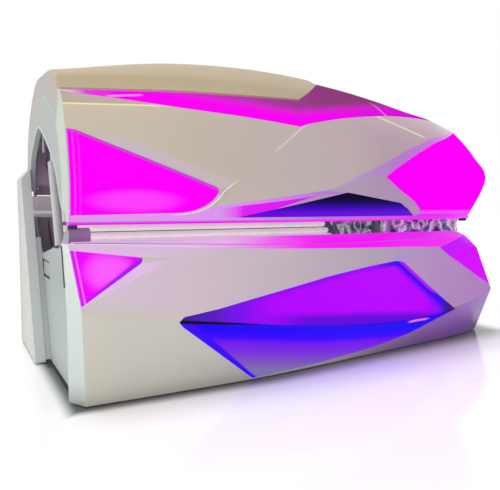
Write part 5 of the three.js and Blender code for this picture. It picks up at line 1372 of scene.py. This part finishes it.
NOTCH = 0.058
upper_line = ([p[0] * HALF for p in UPPER], [p[1] * RIM for p in UPPER])
lower_line = ([p[0] * HALF for p in LOWER], [p[1] * RIM for p in LOWER])
divide_line = ([p[0] * HALF for p in DIVIDE], [p[1] * RIM for p in DIVIDE])


def recess_depth(x, z, upper):
    share = np.clip((x / HALF + 0.669) / 1.407, 0, 1)
    deep = NOTCH * np.sin(np.pi * share) ** 0.8
    edge = np.interp(x, *(upper_line if upper else lower_line))
    low = np.interp(x, *divide_line)
    amount = np.clip((edge - z) / np.where(np.abs(edge - low) < 1e-4, 1e-4, edge - low), 0, 1)
    return 0.004 + deep * (amount if upper else amount ** 3)


def recess_sheet(name, upper, material):
    line = [(u * HALF, w * RIM + (0.0004 if upper else -0.0004)) for u, w in DIVIDE]
    far = 2.0 if upper else -2.0
    half_plane = dense([(-2, line[0][1])] + line + [(2, line[-1][1]), (2, far), (-2, far)], 0.03)
    co, tris = cut_sheet([dense(recess_xz, 0.012), half_plane], [], [], 0.014)
    depth = recess_depth(co[:, 0], co[:, 1], upper)
    y = base_at(co[:, 0], base_j(co[:, 0], co[:, 1]))[0] + depth
    outer = np.stack([co[:, 0], y, co[:, 1]], -1)
    obj = shell(name, outer, outer + np.array([0, 0.005, 0]), tris, [material], None, 40)
    bevel(obj, 0.0008)
    return obj


give(recess_sheet("base_centre_glow", True, VIOLET), "base", "lit_violet", "base_centre_light")
give(recess_sheet("base_tray", False, TRAY), "base", "tray_blue", "base_centre_tray")

# Lamps: glass tubes with metal caps, in their holders


def bezier(a, b, c, d, count):
    t = np.linspace(0, 1, count + 1)[:, None]
    a, b, c, d = (np.array(p, float) for p in (a, b, c, d))
    return a * (1 - t) ** 3 + b * 3 * t * (1 - t) ** 2 + c * 3 * t * t * (1 - t) + d * t ** 3


BED = bezier((-0.672 * DEEP, 0.965 * RIM), (-0.47 * DEEP, 0.68 * RIM), (0.31 * DEEP, 0.55 * RIM),
             (0.66 * DEEP, 1.12 * RIM), 20)
LAMP_LEFT, BED_RIGHT, HEAD_START = -1.058, 0.702, 0.5
ACRYLIC_T, LAMP_AIR, TUBE_R = 0.006, 0.006, 0.019


def lamp_bank(name, path, lit_part, start, left, right, count, side, body, node):
    n = len(path) - 1
    a, b = int(math.floor(lit_part[0] * n + 0.5)), int(math.floor(lit_part[1] * n + 0.5))
    part = path[a:b + 1]
    reach = start + ACRYLIC_T + LAMP_AIR + TUBE_R
    verts, faces, mats = [], [], []

    def ring_bar(y, z, profile, mat):
        sides = 18
        base = len(verts)
        for x, r in profile:
            verts.extend((x, y + r * math.cos(t), z + r * math.sin(t))
                         for t in (2 * math.pi * k / sides for k in range(sides)))
        for i in range(len(profile) - 1):
            for k in range(sides):
                p, q = base + i * sides + k, base + i * sides + (k + 1) % sides
                faces.append((p, p + sides, q + sides, q))
                mats.append(mat)
        faces.append(tuple(base + k for k in range(sides)))
        faces.append(tuple(base + (len(profile) - 1) * sides + k for k in range(sides))[::-1])
        mats.extend([mat, mat])
    for k in range(count):
        place = (0.05 + 0.9 * k / (count - 1)) * (len(part) - 1)
        i = min(int(place), len(part) - 2)
        way = part[i + 1] - part[i]
        spot = part[i] + way * (place - i)
        way = way / np.linalg.norm(way)
        y, z = spot + np.array([-way[1], way[0]]) * side * reach
        r = TUBE_R
        ring_bar(y, z, [(left + 0.034, r * 0.93), (left + 0.036, r * 0.985), (right - 0.036, r * 0.985),
                        (right - 0.034, r * 0.93)], 0)
        for e, s in ((left, 1), (right, -1)):
            ring_bar(y, z, [(e + s * 0.009, r * 0.5), (e + s * 0.0142, r * 0.5), (e + s * 0.0145, r * 0.97),
                            (e + s * 0.030, r * 0.995), (e + s * 0.0345, r * 0.97)], 1)
    near, far = start + ACRYLIC_T + 0.0003, start + ACRYLIC_T + 2 * LAMP_AIR + 2 * TUBE_R - 0.0003
    fine = spline(path, n * 4)
    lo, hi = beside(fine, side * near)[a * 4:b * 4 + 1], beside(fine, side * far)[a * 4:b * 4 + 1]
    loop = np.concatenate([lo, hi[::-1]])
    for e, s in ((left, 1), (right, -1)):
        base = len(verts)
        m = len(loop)
        for x in (e, e + s * 0.014):
            verts.extend((x, p[0], p[1]) for p in loop)
        for k in range(m):
            p, q = base + k, base + (k + 1) % m
            faces.append((p, q, q + m, p + m))
            mats.append(2)
        half = m // 2
        for row in (0, m):
            for k in range(half - 1):
                faces.append((base + row + k, base + row + k + 1, base + row + m - 2 - k, base + row + m - 1 - k))
                mats.append(2)
    obj = add_object(name, verts, faces, [TUBE, PIN, HOLDER], mats, 40)
    bm = bmesh.new()
    bm.from_mesh(obj.data)
    bmesh.ops.recalc_face_normals(bm, faces=bm.faces)
    bm.to_mesh(obj.data)
    bm.free()
    soften(obj, 40)
    return give(obj, body, "lamp_glass", node)


ARCH_COARSE = arch([(-0.729, 0), (-0.725, 0.03), (-0.633, 0.105), (-0.493, 0.254), (-0.298, 0.37), (0.007, 0.492),
                    (0.204, 0.53), (0.481, 0.44), (0.624, 0.339), (0.653, 0.168)], 22)
lamp_bank("base_tubes", BED, (0.2, 1.0), 0.0, LAMP_LEFT, BED_RIGHT, 17, -1, "base", "base_lamp_bank")
lamp_bank("canopy_tubes", ARCH_COARSE, (0.2, 0.9), 0.012, LAMP_LEFT, HEAD_START - 0.01, 14, 1, "canopy",
          "canopy_lamp_bank")

# Details: dust skirt behind the canopy, faceted reflectors at the head end, dark tubes of painted shadow round the
# hatches

skirt_x = np.linspace(-1.117, 1.117, 60)
skirt_y = section(skirt_x, np.full(60, 12.0))[0] - 0.009
skirt_rows = [np.stack([skirt_x, skirt_y + dy, np.full(60, z)], -1)
              for dy, z in ((0, 0.815), (-0.002, 0.790), (-0.006, 0.767), (-0.009, 0.767), (-0.005, 0.790), (-0.003, 0.815))]
give(strip("canopy_dust_skirt", skirt_rows + skirt_rows[:1], [TRIM]), "canopy", "trim_mauve")

DEPTH_CODE = [0, 3, 1, 4, 2, 5, 1, 3, 0, 4, 2]


def facet_wall(name, ends, columns, levels, front, body):
    """A wall of cut reflectors in a straight edge, its inner corners pressed to uneven depths."""
    spots = []
    for j, z in enumerate(levels):
        for i, x in enumerate(np.linspace(*ends, columns)):
            if 0 < i < columns - 1 and 0 < j < len(levels) - 1:
                spots.append((x + 0.006 * ((3 * i + 5 * j) % 3 - 1), front + 0.0045 * DEPTH_CODE[(i * 4 + j * 3) % 11], z))
            else:
                spots.append((x, front + 0.01, z))
    spots = np.array(spots)
    back = spots.copy()
    back[:, 1] = front + 0.032
    tris = np.array([t for j in range(len(levels) - 1) for i in range(columns - 1) for a in [j * columns + i]
                     for t in ((a, a + columns, a + 1), (a + 1, a + columns, a + columns + 1))])
    give(shell(name, spots, back, tris, [CHROME], None, 4), body, "reflector")


facet_wall("canopy_head_facets", (0.515, 1.075), 19, [0.658, 0.636, 0.612, 0.586, 0.556], -0.338, "canopy")
facet_wall("base_head_facets", (0.722, 1.078), 13, [0.664, 0.640, 0.610, 0.580, 0.550, 0.520], 0.405, "base")

POST_FOOT, POST_HEAD = (0.018, 0.006), (0.386, 0.870)
for side, tag in ((-1, "left"), (1, "right")):
    rows = []
    for z in np.linspace(0.02, 0.56, 12):
        y = POST_FOOT[0] + (POST_HEAD[0] - POST_FOOT[0]) * (z - POST_FOOT[1]) / (POST_HEAD[1] - POST_FOOT[1])
        rows.append([(side * x, y + dy, z) for x, dy in ((1.1475, 0.003), (1.1226, 0.001), (1.1226, 0.009), (1.1475, 0.012))])
    give(strip(tag + "_post_cover", rows, [MINT], closed=True, caps=True), "base", "mint_panel")

HATCH = (0.021, 0.192, 0.393, 0.4537)
# Painted shadow: dark tubes round the hatch covers stand for the shadow in their gaps.
for side, tag in ((-1, "left"), (1, "right")):
    y0, y1, z0, z1 = HATCH
    loop = rounded([(y0 - 0.003, z0 - 0.003), (y1 + 0.003, z0 - 0.003), (y1 + 0.003, z1 + 0.003), (y0 - 0.003, z1 + 0.003)], 0.01, 4)
    loop = [(side * 1.1195, y, z) for y, z in loop + loop[:1]]
    give(tube(tag + "_hatch_shadow_gap", loop, 0.0022, SHADOW_GAP, 8), "base", "mint_panel")

# CAD nodes that keep their own shape

KEEP = {
    STEEL: ["base_frame", "canopy_frame"],
    RUBBER: ["levelling_foot_1", "levelling_foot_2", "levelling_foot_3", "levelling_foot_4", "left_corner_buffer",
             "right_corner_buffer"],
    ACRYLIC: ["base_acrylic", "canopy_acrylic"],
    MIRROR: ["base_reflector", "canopy_reflector", "face_lamp_hood"],
    TRIM: ["foot_end_trim"],
    WHITE: ["base_rear_panel"],
    DECK: ["head_end_deck"],
    LINER: ["head_end_liner"],
    BLACK: ["mains_inlet", "fan_housing", "fan_rotor"],
    GEAR: ["control_gear_tray"],
    MINT: ["left_end_panel", "right_end_panel", "left_hatch_cover", "right_hatch_cover"],
    POST: ["left_hinge_post", "right_hinge_post"],
    PIN: ["left_hinge_pin", "right_hinge_pin", "left_strut_rod", "right_strut_rod"],
    SLEEVE: ["left_strut_sleeve", "right_strut_sleeve"],
    LIP_GLOW: ["canopy_lower_rim"],
    FILTER: ["face_filter"],
    TUBE: ["face_lamp_1", "face_lamp_2"],
    CONSOLE: ["head_console", "air_nozzle"],
    BUTTON: ["console_button_1", "console_button_2", "console_button_3"],
}
BEVELS = {"left_end_panel": 0.002, "right_end_panel": 0.002, "left_hatch_cover": 0.002, "right_hatch_cover": 0.002,
          "left_hinge_post": 0.004, "right_hinge_post": 0.004, "base_rear_panel": 0.0015, "head_console": 0.002,
          "console_button_1": 0.001, "console_button_2": 0.001, "console_button_3": 0.001, "foot_end_trim": 0.003,
          "left_corner_buffer": 0.002, "right_corner_buffer": 0.002, "head_end_deck": 0.0015,
          "canopy_lower_rim": 0.0015, "control_gear_tray": 0.001}
SMOOTH = ["left_strut_sleeve", "right_strut_sleeve", "left_strut_rod", "right_strut_rod", "left_hinge_pin",
          "right_hinge_pin", "air_nozzle", "base_acrylic", "canopy_acrylic", "base_reflector", "canopy_reflector",
          "face_lamp_1", "face_lamp_2", "face_lamp_hood", "head_end_liner", "head_end_deck", "face_filter",
          "left_corner_buffer", "right_corner_buffer", "canopy_lower_rim", "foot_end_trim", "mains_inlet",
          "levelling_foot_1", "levelling_foot_2", "levelling_foot_3", "levelling_foot_4", "fan_housing", "fan_rotor"]


def smooth_tree():
    """Soft shading over shallow edges, for CAD nodes that keep their mesh."""
    tree = bpy.data.node_groups.new("soft_shading", "GeometryNodeTree")
    tree.interface.new_socket("Geometry", in_out="INPUT", socket_type="NodeSocketGeometry")
    tree.interface.new_socket("Geometry", in_out="OUTPUT", socket_type="NodeSocketGeometry")
    start, stop = tree.nodes.new("NodeGroupInput"), tree.nodes.new("NodeGroupOutput")
    weld = tree.nodes.new("GeometryNodeMergeByDistance")
    weld.inputs["Distance"].default_value = 0.00001
    soft = tree.nodes.new("GeometryNodeSetShadeSmooth")
    soft.domain = "FACE"
    hard = tree.nodes.new("GeometryNodeSetShadeSmooth")
    hard.domain = "EDGE"
    hard.inputs["Shade Smooth"].default_value = False
    turn = tree.nodes.new("GeometryNodeInputMeshEdgeAngle")
    over = tree.nodes.new("FunctionNodeCompare")
    over.data_type = "FLOAT"
    over.operation = "GREATER_THAN"
    over.inputs["B"].default_value = math.radians(34)
    tree.links.new(start.outputs[0], weld.inputs["Geometry"])
    tree.links.new(weld.outputs[0], soft.inputs["Geometry"])
    tree.links.new(soft.outputs[0], hard.inputs["Geometry"])
    tree.links.new(turn.outputs["Unsigned Angle"], over.inputs["A"])
    tree.links.new(over.outputs["Result"], hard.inputs["Selection"])
    tree.links.new(hard.outputs[0], stop.inputs[0])
    return tree


SOFT_SHADING = smooth_tree()
for look, names in KEEP.items():
    for name in names:
        obj = NODES[name]
        obj.data.materials.clear()
        obj.data.materials.append(look)
        if name in BEVELS:
            bevel(obj, BEVELS[name])
        if name in SMOOTH:
            obj.modifiers.new("soft", "NODES").node_group = SOFT_SHADING

# Floor, light and camera

floor_mesh = bpy.data.meshes.new("floor")
floor_mesh.from_pydata([(-30, -30, 0), (30, -30, 0), (30, 30, 0), (-30, 30, 0)], [], [(0, 1, 2, 3)])
floor = bpy.data.objects.new("floor", floor_mesh)
scene.collection.objects.link(floor)
look = Look("floor_white", Specular_IOR_Level=0.5, Emission_Color=(1, 1, 1, 1), Emission_Strength=0.03)
plain = look.ramp(look.noise(2), [(0.3, "#fbfbfb"), (0.7, "#fdfdfd")])
# Painted contact shadow: the floor darkens close round the base's footprint, more widely towards the right.
FOOTPRINT = [((0, -1, 0), 0.622), ((0.1203, -0.993, 0), 0.572), ((-1, 0, 0), 1.125), ((1, 0, 0), 1.135), ((0, 1, 0), 0.60)]
beyond = look.most(*[look.calc("SUBTRACT", look.axis(way), reach) for way, reach in FOOTPRINT])
share = look.calc("DIVIDE", beyond, look.span(look.axis(X), -1.1, 1.1, 0.07, 0.2))
look.set("Base Color", look.mix(look.ease(share, 1.05, 0.1), plain, "#343336"))
look.rough(0.12, 0.15, 3)
floor_mesh.materials.append(look.mat)

world = bpy.data.worlds.new("studio")
scene.world = world
world.use_nodes = True
tree = world.node_tree
tree.nodes.clear()
out = tree.nodes.new("ShaderNodeOutputWorld")
rays = tree.nodes.new("ShaderNodeLightPath")
seen = tree.nodes.new("ShaderNodeMath")
seen.operation = "ADD"
tree.links.new(rays.outputs["Is Camera Ray"], seen.inputs[0])
tree.links.new(rays.outputs["Is Glossy Ray"], seen.inputs[1])
seen2 = tree.nodes.new("ShaderNodeMath")
seen2.operation = "ADD"
seen2.use_clamp = True
tree.links.new(seen.outputs[0], seen2.inputs[0])
tree.links.new(rays.outputs["Is Transmission Ray"], seen2.inputs[1])
soft = tree.nodes.new("ShaderNodeBackground")
soft.inputs["Color"].default_value = (1, 1, 1, 1)
soft.inputs["Strength"].default_value = 0.54
bright = tree.nodes.new("ShaderNodeBackground")
bright.inputs["Color"].default_value = (1, 1, 1, 1)
bright.inputs["Strength"].default_value = 1.0
blend = tree.nodes.new("ShaderNodeMixShader")
tree.links.new(seen2.outputs[0], blend.inputs[0])
tree.links.new(soft.outputs[0], blend.inputs[1])
tree.links.new(bright.outputs[0], blend.inputs[2])
tree.links.new(blend.outputs[0], out.inputs[0])


def sun(name, towards, power, spread):
    data = bpy.data.lights.new(name, "SUN")
    data.energy = power
    data.angle = math.radians(spread)
    obj = bpy.data.objects.new(name, data)
    obj.rotation_euler = Vector(towards).to_track_quat("-Z", "Y").to_euler()
    obj.location = (0, 0, 4)
    obj.visible_glossy = False
    scene.collection.objects.link(obj)


sun("key", (0.05, -0.26, -1), 1.4, 16)
sun("fill", (0.45, 0.85, -0.5), 0.6, 80)
sun("side", (1, 0.12, -0.15), 0.75, 40)

cam = bpy.data.cameras.new("camera")
cam.sensor_fit = "HORIZONTAL"
cam.sensor_width = 36
cam.lens = 39.6
cam.clip_end = 100
eye = bpy.data.objects.new("camera", cam)
eye.location = (-1.4993, -2.5543, 0.710)
yaw, pitch = math.radians(28.5), math.radians(4.056)
ahead = Vector((math.sin(yaw) * math.cos(pitch), math.cos(yaw) * math.cos(pitch), -math.sin(pitch)))
eye.rotation_euler = ahead.to_track_quat("-Z", "Y").to_euler()
scene.collection.objects.link(eye)
scene.camera = eye
scene.view_settings.view_transform = "Standard"

bpy.context.view_layer.update()
